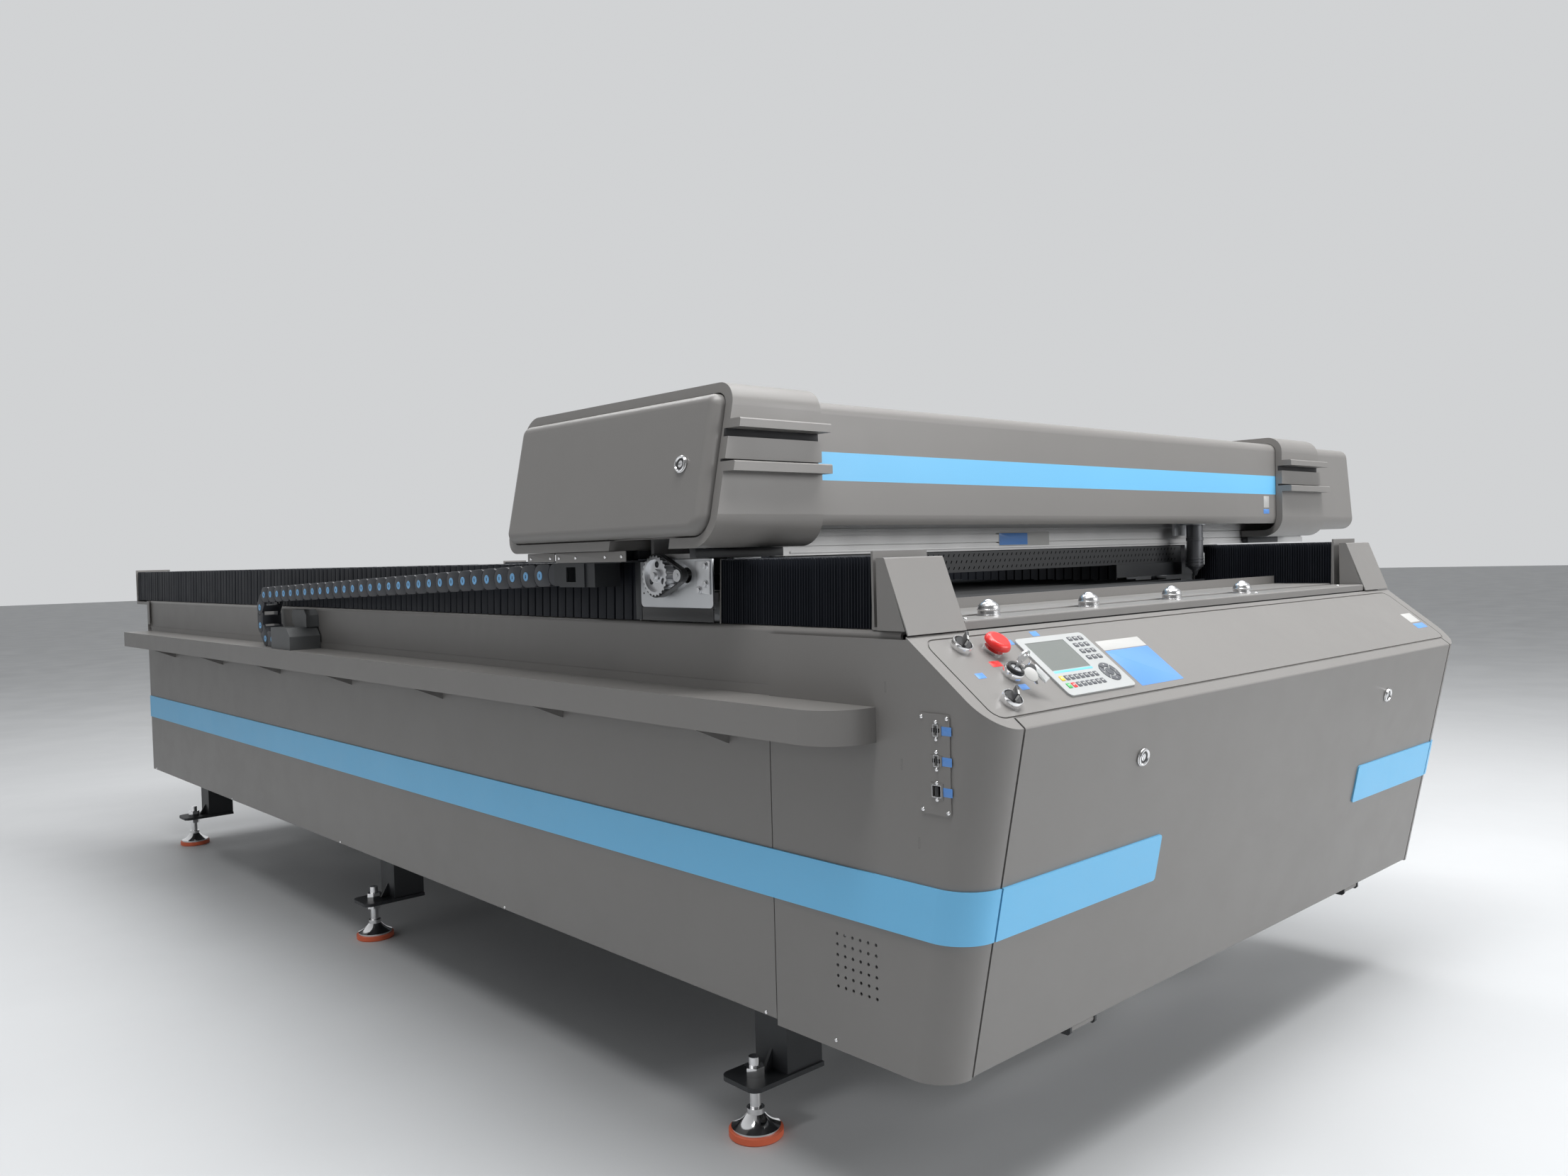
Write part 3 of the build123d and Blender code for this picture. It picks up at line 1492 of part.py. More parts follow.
def tube_supports():
    """Clamps that carry the tube from the back of the beam, with the first mirror's mount."""
    y, z = tube_axis
    rear = alloy_beam_front + alloy_beam_depth
    pieces = []
    low = min(z - 65, alloy_beam_bottom + alloy_beam_height - support_lap)
    high = z - 35
    middle = tube_start + tube_length / 2
    for x in (tube_start + 230, middle, tube_start + tube_length - 260):
        bar = area((rear, low), (rear, high), (y - 45, high), (y - 45, z), (y + 45, z), (y + 45, low))
        saddle = along_x(bar, x - 20, x + 20)
        saddle -= Pos(x, y, z) * Rot(0, 90, 0) * Cylinder(tube_radius + fit_gap, 60)
        pieces.append(saddle)
    left = tube_start - 70
    mount = block((left, left + 10), (rear, y + 40), (low, z + 45))
    mount += block((left, left + 45), (rear, rear + 10), (low, high))
    mirror = Pos(left + 20, y, z) * Rot(0, 90, 0) * Cylinder(22, 20)
    pieces.append(mount + mirror)
    return pieces


def head_carriage():
    """Moving plate on the head guide, its bearing block, and the tube that holds the lens."""
    y = alloy_beam_front - 16
    z = head_guide_height
    gap = fit_gap
    body = area(
        (y - gap - 8, z - 22), (y + 12, z - 22), (y + 12, z - 10 - gap), (y - gap, z - 10 - gap),
        (y - gap, z + 10 + gap), (y + 12, z + 10 + gap), (y + 12, z + 22), (y - gap - 8, z + 22),
    )
    shoe = along_x(body, head_x - 40, head_x + 40)
    front = y - gap - 8
    plate = block((head_x - 45, head_x + 45), (front - 6, front), (z - 55, z + 35))
    clamp = Pos(head_x, head_y, z - 5) * Cylinder(head_radius + 8, 50)
    clamp += block((head_x - 20, head_x + 20), (head_y, front - 6), (z - 28, z + 18))
    clamp -= Pos(head_x, head_y, z) * Cylinder(head_radius + fit_gap / 2, 400)
    return shoe + plate + clamp


def lens_tube():
    """The sliding lens tube with its focus ring, nozzle cone and air fitting."""
    tip = nozzle_tip
    top = 1064.0
    profile = area(
        (3.5, tip), (8, tip + 12), (15, tip + 18), (head_radius, tip + 22), (head_radius, top), (14, top),
        (14, tip + 42), (2, tip + 2), (2, tip),
    )
    body = Pos(head_x, head_y, 0) * revolve(Plane.XZ * profile, Axis.Z)
    fitting = Pos(head_x + head_radius + 6, head_y, tip + 34) * Rot(0, 90, 0) * Cylinder(5, 16)
    fitting += Pos(head_x + head_radius + 13, head_y, tip + 43) * Cylinder(6, 26)
    keep = Pos(head_x, head_y, 1000) * Cylinder(head_radius - 1, 300)
    return body + (fitting - keep)


left_corner, right_corner = corner_bodies()
left_pan, right_pan = end_pans()
left_pan_lock, right_pan_lock = pan_locks()
left_door_lock, right_door_lock = door_locks()

nodes = {
    "base_frame": base_frame(),
    "foot_pads": foot_pads(),
    "foot_bases": foot_bases(),
    "rail_beams": rail_beams(),
    "linear_guides": linear_guides(),
    "track_belts": track_belts(),
    "corner_panel_left": left_corner,
    "corner_panel_right": right_corner,
    "side_skirts": side_skirts(),
    "rear_panel": rear_panel(),
    "side_stripes": side_stripes(),
    "front_door": front_door(),
    "door_stripes": door_stripes(),
    "door_lock_left": left_door_lock,
    "door_lock_right": right_door_lock,
    "console_frame": console_frame(),
    "console_plate": console_plate(),
    "keypad_panel": keypad_panel(),
    "keypad_screen": keypad_screen(),
    "keypad_keys": keypad_keys(),
    "switch_bezels": switch_bezels(),
    "estop_button": estop_button(),
    "selector_rear": selector(desk_place(*rear_selector_at)),
    "selector_front": selector(desk_place(*front_selector_at)),
    "key_rotor": key_rotor(),
    "deck_plate": deck_plate(),
    "ball_cups": ball_cups(),
    "rail_end_covers": rail_end_covers(),
    "bellows_front": front_bellows(),
    "bellows_rear": rear_bellows(),
    "chain_tray": chain_tray(),
    "chain_anchor": chain_anchor(),
    "chain_lower": chain_lower(),
    "chain_bend": chain_bend(),
    "chain_upper": chain_upper(),
    "chain_bracket": chain_bracket(),
    "worktable_slats": worktable_slats(),
    "worktable_frame": worktable_frame(),
    "io_plate": io_plate(),
    "cabinet_units": cabinet_units(),
    "gantry_collars": gantry_collars(),
    "beam_cover": beam_cover(),
    "cover_band": cover_band(),
    "end_pan_left": left_pan,
    "end_pan_right": right_pan,
    "pan_lock_left": left_pan_lock,
    "pan_lock_right": right_pan_lock,
    "gantry_beam": gantry_beam(),
    "carriages": carriages(),
    "drive_shaft": drive_shaft(),
    "motor_pinion": motor_pinion(),
    "drive_motor": drive_motor(),
    "beam_guard": beam_guard(),
    "laser_tube": laser_tube(),
    "head_carriage": head_carriage(),
    "lens_tube": lens_tube(),
}
for i in range(ball_count):
    nodes[f"ball_{i + 1}"] = ball_place(i) * Sphere(ball_radius)

whole = Compound(children=[solid for shape in nodes.values() for solid in shape.solids()])
box = whole.bounding_box()
centre = Pos(-(box.min.X + box.max.X) / 2, -(box.min.Y + box.max.Y) / 2, -box.min.Z)
os.makedirs("parts", exist_ok=True)
for name, shape in nodes.items():
    export_step(centre * shape, f"parts/{name}.step")
print("moved by", centre.position)
print("size", box.size)
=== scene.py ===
"""Gantry laser cutting machine: finishes, covers, bellows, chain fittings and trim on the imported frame.

Lengths are in millimetres in the machine's own frame: X from the left skirt, Y from the nose of the
control desk towards the rear, Z up from the floor. The mesh builder turns them into metres.
"""

from __future__ import annotations

import json
import logging
import math
import random
from dataclasses import dataclass, field
from enum import Enum
from typing import Callable, Iterable, Sequence

import bmesh
import bpy
from mathutils import Euler, Matrix, Vector

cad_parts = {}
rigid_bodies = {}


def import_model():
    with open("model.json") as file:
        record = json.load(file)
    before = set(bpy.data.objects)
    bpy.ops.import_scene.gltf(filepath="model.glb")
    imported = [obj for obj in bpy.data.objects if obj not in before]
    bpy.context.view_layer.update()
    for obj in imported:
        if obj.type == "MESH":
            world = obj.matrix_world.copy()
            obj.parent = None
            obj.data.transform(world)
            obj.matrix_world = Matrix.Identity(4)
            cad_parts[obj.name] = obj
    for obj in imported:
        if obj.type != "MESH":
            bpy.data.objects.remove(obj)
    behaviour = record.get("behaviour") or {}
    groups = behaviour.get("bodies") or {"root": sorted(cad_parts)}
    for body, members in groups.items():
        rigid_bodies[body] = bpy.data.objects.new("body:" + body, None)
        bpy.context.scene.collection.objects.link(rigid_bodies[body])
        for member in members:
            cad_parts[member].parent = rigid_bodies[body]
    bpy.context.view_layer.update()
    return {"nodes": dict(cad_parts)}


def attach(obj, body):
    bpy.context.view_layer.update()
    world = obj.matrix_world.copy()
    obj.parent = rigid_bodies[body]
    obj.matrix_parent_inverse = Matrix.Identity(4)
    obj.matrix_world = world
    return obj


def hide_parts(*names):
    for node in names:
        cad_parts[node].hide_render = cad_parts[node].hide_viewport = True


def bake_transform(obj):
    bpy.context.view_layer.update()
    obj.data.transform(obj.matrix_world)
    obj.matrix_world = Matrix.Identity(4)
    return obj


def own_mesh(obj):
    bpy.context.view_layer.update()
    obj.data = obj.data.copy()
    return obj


log = logging.getLogger("scene")

Point = tuple[float, float, float]
Flat = tuple[float, float]
Colour = tuple[float, float, float]
Socket = bpy.types.NodeSocket

MILLI = 0.001
FULL_TURN = 2.0 * math.pi
# Machine frame to row frame, in millimetres
SHIFT = Vector((-1108.63, -1953.15, 0.0))

# Machine outline, as in the CAD source. The front leans by FRONT_LEAN per millimetre of height, the
# gantry's ends by END_TILT; its cover stands COVER_BACK behind the collars' front
BODY_WIDTH = 1640.0
NOSE_HEIGHT = 735.0
FRONT_LEAN = 98.0 / 485.0
DESK_SLOPE = math.atan2(116.0, 149.0)
GANTRY_FRONT = 462.0
GANTRY_MIDDLE = 1105.5
END_TILT = 0.21
COVER_BACK = 17.0
BEAM_FRONT = 575.0
HEAD_X = 1460.0
BELLOWS_SPANS = ((13.0, 123.0), (BODY_WIDTH - 123.0, BODY_WIDTH - 13.0))
DECK_TOP = 866.0

# Gap between a blank tag and its panel, the tag's thickness and the radius of its edge
TAG_GAP = 0.02
TAG_THICK = 0.2
TAG_EDGE = 0.05
# How deep a key or a terminal sits in the face that carries it
SUNK = 0.05
# Height and edge radius of a printed mark
PRINT = (0.08, 0.02)

# Relief and wear that all finishes share; rates are cells per metre, depths are millimetres
DRIFT_RATE = 2.2
SMUDGE_RATE = 14.0
SMUDGE_SPREAD = 0.07
DUST_RATE = 420.0
DUST_LEVEL = 0.42
DUST_SHARE = 0.4
WARP_RATE = 4.0
WARP_DEPTH = 0.05
# Band that holds most of a soft noise
NOISE_BAND = (0.3, 0.7)


def place(point: Sequence[float]) -> Vector:
    """Turns a point in machine millimetres into the row frame's metres."""
    return (Vector(point) + SHIFT) * MILLI


def facing(origin: Sequence[float], right: Sequence[float], out: Sequence[float]) -> Matrix:
    """Builds a local frame.

    Args:
        origin: Its origin in machine millimetres.
        right: Direction of its X.
        out: Direction of its Z.

    Returns:
        The frame's matrix.
    """
    z = Vector(out).normalized()
    x = (Vector(right) - Vector(right).dot(z) * z).normalized()
    y = z.cross(x)
    turn = Matrix((x, y, z)).transposed().to_4x4()
    return Matrix.Translation(Vector(origin)) @ turn


def on_desk(x: float, up: float, lift: float = 0.0) -> Matrix:
    """Gives a frame on the control desk: X to the right, Y up the slope, Z out of it.

    Args:
        x: Distance from the left skirt.
        up: Distance up the slope from its nose.
        lift: Distance out of the desk.

    Returns:
        The frame's matrix.
    """
    sine, cosine = math.sin(DESK_SLOPE), math.cos(DESK_SLOPE)
    origin = (x, up * cosine - lift * sine, NOSE_HEIGHT + up * sine + lift * cosine)
    return facing(origin, (1, 0, 0), (0, -sine, cosine))


def on_door(x: float, height: float, lift: float = 0.0) -> Matrix:
    """Gives a frame on the leaning front: X to the right, Y up the front, Z out of it.

    Args:
        x: Distance from the left skirt.
        height: Height above the floor.
        lift: Distance out of the front.

    Returns:
        The frame's matrix.
    """
    out = Vector((0.0, -1.0, -FRONT_LEAN)).normalized()
    origin = Vector((x, FRONT_LEAN * (NOSE_HEIGHT - height), height)) + out * lift
    return facing(origin, (1, 0, 0), out)


def on_left(y: float, z: float, x: float = 0.0) -> Matrix:
    """Gives a frame on a face that looks to the left: X towards the front, Y up, Z to the left."""
    return facing((x, y, z), (0, -1, 0), (-1, 0, 0))


def on_front(x: float, z: float, y: float) -> Matrix:
    """Gives a frame on an upright face that looks to the front: X to the right, Y up, Z to the front."""
    return facing((x, y, z), (1, 0, 0), (0, -1, 0))


# Finishes


class Grain(Enum):
    """The fine relief of a surface."""

    POWDER = "powder"
    BRUSHED = "brushed"
    MOULDED = "moulded"
    WOVEN = "woven"
    SMOOTH = "smooth"


@dataclass(frozen=True)
class Finish:
    """A surface's colour, gloss, relief and wear.

    Args:
        name: Name of the material.
        slot: Material slot of the record that it belongs to; not used.
        colour: Linear base colour.
        roughness: Middle value of the gloss.
        metallic: 1 for bare metal.
        grain: Kind of fine relief.
        size: Width of one grain in millimetres.
        depth: Height of the relief in millimetres.
        mottle: Share by which the colour drifts over the surface.
        dust: Share of the surface that settled dust covers.
        transmission: Share of the light that passes through.
        shine: Strength of the mirror reflection, 0.5 for most paints and plastics.
    """

    name: str
    slot: str
    colour: Colour
    roughness: float = 0.5
    metallic: float = 0.0
    grain: Grain = Grain.POWDER
    size: float = 1.2
    depth: float = 0.02
    mottle: float = 0.06
    dust: float = 0.1
    transmission: float = 0.0
    shine: float = 0.5

    def material(self) -> bpy.types.Material:
        """Gives the node material, made on first use, under a name that the frame doesn't use."""
        title = f"{self.name}_finish"
        return bpy.data.materials.get(title) or self._write(title)

    def _write(self, title: str) -> bpy.types.Material:
        """Writes the nodes: drift in tone, settled dust, smudged gloss and relief.

        Args:
            title: Name of the material.

        Returns:
            The material.
        """
        paint = NodeWriter(title)
        shader = paint.shader
        cloud = paint.noise(DRIFT_RATE, detail=4.0)
        smudge = paint.noise(SMUDGE_RATE, detail=6.0)
        dark = tuple(c * (1.0 - self.mottle) for c in self.colour)
        light = tuple(min(c * (1.0 + self.mottle), 1.0) for c in self.colour)
        tone = paint.mix(dark, light, paint.levels(cloud, *NOISE_BAND))
        pale = tuple((1.0 - DUST_SHARE) * c + DUST_SHARE * DUST_LEVEL for c in self.colour)
        settled = paint.levels(smudge, 0.5, 0.8, 0.25 * self.dust, self.dust)
        speck = paint.noise(DUST_RATE, detail=2.0)
        lying = paint.levels(paint.facing_up(), 0.2, 0.95, 0.3, 1.0)
        dusty = paint.times(paint.times(settled, lying), paint.levels(speck, 0.4, 0.62))
        paint.link(paint.mix(tone, pale, dusty), "Base Color")
        spread = SMUDGE_SPREAD * self.roughness
        rough = paint.levels(smudge, 0.3, 0.75, self.roughness - spread, self.roughness + spread)
        paint.link(rough, "Roughness")
        shader.inputs["Metallic"].default_value = self.metallic
        shader.inputs["Transmission Weight"].default_value = self.transmission
        shader.inputs["Specular IOR Level"].default_value = self.shine
        paint.link(self._relief(paint), "Normal")
        return paint.material

    def _relief(self, paint: NodeWriter) -> Socket:
        """Adds the grain and the sheet's faint waviness.

        Args:
            paint: Writer of the material.

        Returns:
            The bent normal.
        """
        rate = 1.0 / (self.size * MILLI)
        if self.grain is Grain.WOVEN:
            height = paint.weave(rate)
        elif self.grain is Grain.BRUSHED:
            height = paint.noise(1.0, detail=3.0, stretch=(rate * 0.03, rate, rate))
        elif self.grain is Grain.SMOOTH:
            height = paint.noise(rate * 0.05, detail=2.0)
        else:
            height = paint.noise(rate, detail=2.5)
        fine = paint.bump(height, self.depth)
        wave = paint.noise(WARP_RATE, detail=0.0)
        return paint.bump(wave, WARP_DEPTH, under=fine)


@dataclass
class Graph:
    """Adds nodes to one tree.

    Args:
        tree: Tree of a material, of the world or of Geometry Nodes.
    """

    tree: bpy.types.NodeTree

    def node(self, kind: str, values: dict[str | int, object] | None = None, **settings: object) -> bpy.types.Node:
        """Adds a node.

        Args:
            kind: Blender's name of the node type.
            values: Input name or index to a value or to another node's output.
            settings: Properties of the node itself.

        Returns:
            The new node.
        """
        made = self.tree.nodes.new(kind)
        for key, value in settings.items():
            setattr(made, key, value)
        for key, value in (values or {}).items():
            socket = made.inputs[key]
            if isinstance(value, Socket):
                self.tree.links.new(value, socket)
            else:
                socket.default_value = value
        return made


class NodeWriter(Graph):
    """Writes the nodes of one material on Object coordinates.

    Args:
        name: Name of the material.
    """

    def __init__(self, name: str) -> None:
        """Makes an empty material.

        Args:
            name: Name of the material.
        """
        self.material = bpy.data.materials.new(name)
        self.material.use_nodes = True
        super().__init__(self.material.node_tree)
        self.shader = self.tree.nodes["Principled BSDF"]
        self.coords = self.node("ShaderNodeTexCoord").outputs["Object"]

    def link(self, value: Socket, name: str) -> None:
        """Feeds the shader's input of that name."""
        self.tree.links.new(value, self.shader.inputs[name])

    def facing_up(self) -> Socket:
        """Gives 1 where the surface looks up, 0 where it stands upright."""
        normal = self.node("ShaderNodeNewGeometry").outputs["Normal"]
        return self.node("ShaderNodeSeparateXYZ", {0: normal}).outputs["Z"]

    def mapped(self, stretch: Point) -> Socket:
        """Scales the coordinates by a different factor on each axis."""
        return self.node("ShaderNodeMapping", {"Vector": self.coords, "Scale": stretch}).outputs[0]

    def noise(self, rate: float, detail: float = 3.0, stretch: Point = (1.0, 1.0, 1.0)) -> Socket:
        """Adds soft noise.

        Args:
            rate: Cells per metre.
            detail: Number of finer layers.
            stretch: Extra factor on each axis.

        Returns:
            The noise value.
        """
        where = self.coords if stretch == (1.0, 1.0, 1.0) else self.mapped(stretch)
        values = {"Vector": where, "Scale": rate, "Detail": detail}
        return self.node("ShaderNodeTexNoise", values).outputs["Fac"]

    def weave(self, rate: float) -> Socket:
        """Crosses two sets of threads.

        Args:
            rate: Threads per metre.

        Returns:
            The cloth's height, 0 to 1.
        """
        bands = []
        for axis in ("Y", "Z"):
            values = {"Vector": self.coords, "Scale": rate / 6.0, "Distortion": 0.4}
            wave = self.node("ShaderNodeTexWave", values, bands_direction=axis)
            bands.append(wave.outputs["Fac"])
        return self.node("ShaderNodeMath", {0: bands[0], 1: bands[1]}, operation="MAXIMUM").outputs[0]

    def levels(self, value: Socket, low: float, high: float, start: float = 0.0, end: float = 1.0) -> Socket:
        """Maps the range low to high onto start to end, smoothly.

        Args:
            value: Output to map.
            low: Value that gives start.
            high: Value that gives end.
            start: Lowest result.
            end: Highest result.

        Returns:
            The mapped value.
        """
        values = {"Value": value, "From Min": low, "From Max": high, "To Min": start, "To Max": end}
        made = self.node("ShaderNodeMapRange", values, interpolation_type="SMOOTHSTEP")
        return made.outputs["Result"]

    def times(self, first: Socket, second: Socket) -> Socket:
        """Multiplies two values."""
        return self.node("ShaderNodeMath", {0: first, 1: second}, operation="MULTIPLY").outputs[0]

    def mix(self, low: Socket | Colour, high: Socket | Colour, share: Socket) -> Socket:
        """Blends two colours.

        Args:
            low: Colour or output at share 0.
            high: Colour or output at share 1.
            share: Output with the share.

        Returns:
            The blended colour.
        """
        made = self.node("ShaderNodeMix", data_type="RGBA")
        factor, first, second = made.inputs[0], made.inputs[6], made.inputs[7]
        self.tree.links.new(share, factor)
        for socket, value in ((first, low), (second, high)):
            if isinstance(value, Socket):
                self.tree.links.new(value, socket)
            else:
                socket.default_value = (*value, 1.0)
        return made.outputs[2]

    def bump(self, height: Socket, depth: float, under: Socket | None = None) -> Socket:
        """Turns a height into a bent normal.

        Args:
            height: Output with the height, 0 to 1.
            depth: Height of the relief in millimetres.
            under: Normal of a finer relief below it.

        Returns:
            The normal.
        """
        values = {"Height": height, "Distance": depth * MILLI, "Strength": 1.0}
        if under is not None:
            values["Normal"] = under
        return self.node("ShaderNodeBump", values).outputs["Normal"]


GREY = Finish("powder_grey", "body_paint", (0.195, 0.188, 0.181), 0.40, depth=0.014, size=1.4, mottle=0.02)
BLUE = Finish("stripe_blue", "stripe_blue", (0.155, 0.500, 0.810), 0.38, depth=0.008, mottle=0.015)
BLACK = Finish("frame_black", "frame_paint", (0.022, 0.024, 0.027), 0.48, depth=0.03, mottle=0.05)
CLOTH = Finish(
    "bellows_cloth", "bellows_cloth", (0.011, 0.013, 0.018), 0.52, grain=Grain.WOVEN, size=1.1, depth=0.05,
    mottle=0.12, dust=0.06, shine=0.2,
)
CHAIN = Finish(
    "chain_nylon", "black_plastic", (0.027, 0.029, 0.035), 0.46, grain=Grain.MOULDED, size=0.8, depth=0.02,
)
ANCHOR = Finish("anchor_enamel", "black_plastic", (0.084, 0.088, 0.090), 0.46, depth=0.014)
CAP = Finish("cap_blue", "stripe_blue", (0.161, 0.406, 0.702), 0.36, grain=Grain.MOULDED, depth=0.004)
# Painted shade: near-black, matt finish for inlays that stand for open holes and slots
HOLE_SHADE = Finish("painted_hole_shade", "black_plastic", (0.003, 0.003, 0.003), 0.9, grain=Grain.SMOOTH, dust=0.0, shine=0.05)
PLASTIC = Finish(
    "black_plastic", "black_plastic", (0.020, 0.020, 0.021), 0.34, grain=Grain.MOULDED, size=0.6, depth=0.01,
)
RUBBER = Finish("black_rubber", "black_rubber", (0.022, 0.022, 0.024), 0.72, grain=Grain.MOULDED)
PAD = Finish("pad_rubber", "black_rubber", (0.744, 0.147, 0.063), 0.55, grain=Grain.MOULDED, dust=0.3)
CHROME = Finish(
    "chrome", "polished_chrome", (0.856, 0.856, 0.863), 0.11, 1.0, Grain.SMOOTH, depth=0.003, mottle=0.02,
)
ZINC = Finish("zinc_steel", "zinc_steel", (0.632, 0.639, 0.653), 0.34, 1.0, Grain.BRUSHED, depth=0.01)
DULL = Finish("dull_zinc", "zinc_steel", (0.238, 0.245, 0.259), 0.50, 0.6, Grain.BRUSHED, depth=0.01)
ALLOY = Finish("raw_aluminium", "raw_aluminium", (0.660, 0.674, 0.692), 0.40, 1.0, Grain.BRUSHED, size=0.9)
LENS = Finish("hard_anodised", "raw_aluminium", (0.119, 0.123, 0.132), 0.36, 0.5, Grain.BRUSHED, size=0.9)
BEAM = Finish("anodised_beam", "raw_aluminium", (0.560, 0.560, 0.560), 0.55, 0.5, Grain.BRUSHED, size=0.9)
WHEEL = Finish("turned_wheel", "zinc_steel", (0.730, 0.737, 0.751), 0.34, 1.0, Grain.BRUSHED, size=0.7)
PRESSED = Finish("pressed_zinc", "zinc_steel", (0.660, 0.660, 0.667), 0.26, 1.0, Grain.SMOOTH, depth=0.004)
SINK = Finish("heat_sink", "raw_aluminium", (0.031, 0.032, 0.035), 0.42, 0.6, Grain.BRUSHED, size=0.9)
BOX = Finish("unit_enamel", "raw_aluminium", (0.420, 0.434, 0.448), 0.46, depth=0.012)
BALL = Finish("ball_steel", "ball_steel", (0.828, 0.828, 0.842), 0.07, 1.0, Grain.SMOOTH, depth=0.001)
RED = Finish("estop_red", "red_plastic", (0.702, 0.028, 0.025), 0.30, grain=Grain.MOULDED, depth=0.006)
PANEL = Finish("keypad_grey", "key_plastic", (0.406, 0.420, 0.420), 0.42, grain=Grain.MOULDED, depth=0.008)
KEYS = Finish("key_grey", "key_plastic", (0.084, 0.090, 0.101), 0.40, grain=Grain.MOULDED, depth=0.006)
GREEN = Finish("key_green", "key_plastic", (0.049, 0.420, 0.105), 0.40, grain=Grain.MOULDED, depth=0.006)
AMBER = Finish("key_amber", "key_plastic", (0.814, 0.504, 0.028), 0.40, grain=Grain.MOULDED, depth=0.006)
TAG = Finish("tag_blue", "stripe_blue", (0.105, 0.280, 0.674), 0.30, grain=Grain.SMOOTH, depth=0.002)
PAPER = Finish("tag_white", "key_plastic", (0.470, 0.470, 0.460), 0.35, grain=Grain.SMOOTH, depth=0.002)
SCREEN = Finish(
    "screen_glass", "screen_glass", (0.165, 0.178, 0.170), 0.34, grain=Grain.SMOOTH, depth=0.001, shine=0.3,
)
GLASS = Finish(
    "tube_glass", "tube_glass", (0.905, 0.870, 0.898), 0.06, grain=Grain.SMOOTH, depth=0.001, transmission=0.85,
)
CLEAR = Finish(
    "clear_plastic", "tube_glass", (0.912, 0.926, 0.926), 0.22, grain=Grain.SMOOTH, depth=0.002, transmission=0.7,
)

NODE_FINISHES: dict[Finish, tuple[str, ...]] = {
    GREY: (
        "rail_beams", "corner_panel_left", "corner_panel_right", "side_skirts", "rear_panel", "front_door",
        "console_frame", "console_plate", "deck_plate", "rail_end_covers", "chain_tray",
        "gantry_collars", "beam_cover", "end_pan_left", "end_pan_right", "io_plate",
    ),
    BLUE: ("side_stripes", "door_stripes", "cover_band"),
    BLACK: ("base_frame", "chain_bracket", "worktable_slats", "beam_guard"),
    RUBBER: ("track_belts",),
    PAD: ("foot_pads",),
    CHROME: (
        "foot_bases", "door_lock_left", "door_lock_right", "switch_bezels", "ball_cups",
        "pan_lock_left", "pan_lock_right",
    ),
    ZINC: ("linear_guides", "key_rotor", "motor_pinion"),
    DULL: ("worktable_frame",),
    WHEEL: ("drive_shaft",),
    ALLOY: ("carriages", "head_carriage"),
    LENS: ("lens_tube",),
    BOX: ("cabinet_units",),
    BEAM: ("gantry_beam",),
    BALL: ("ball_1", "ball_2", "ball_3", "ball_4"),
    RED: ("estop_button",),
    PANEL: ("keypad_panel",),
    KEYS: ("keypad_keys",),
    SCREEN: ("keypad_screen",),
    GLASS: ("laser_tube",),
    CHAIN: ("chain_lower", "chain_bend", "chain_upper"),
    ANCHOR: ("chain_anchor",),
    CLOTH: ("bellows_front", "bellows_rear"),
    PLASTIC: ("selector_rear", "selector_front", "drive_motor"),
}

# Sheet-metal nodes whose folded edges catch the light
FOLDED = (
    "front_door", "console_frame", "console_plate", "rail_end_covers", "chain_tray", "corner_panel_left",
    "corner_panel_right", "side_skirts", "gantry_collars", "end_pan_left", "end_pan_right", "beam_cover",
    "deck_plate", "io_plate", "carriages", "chain_bracket", "chain_anchor", "keypad_panel", "drive_motor",
)


# Mesh building


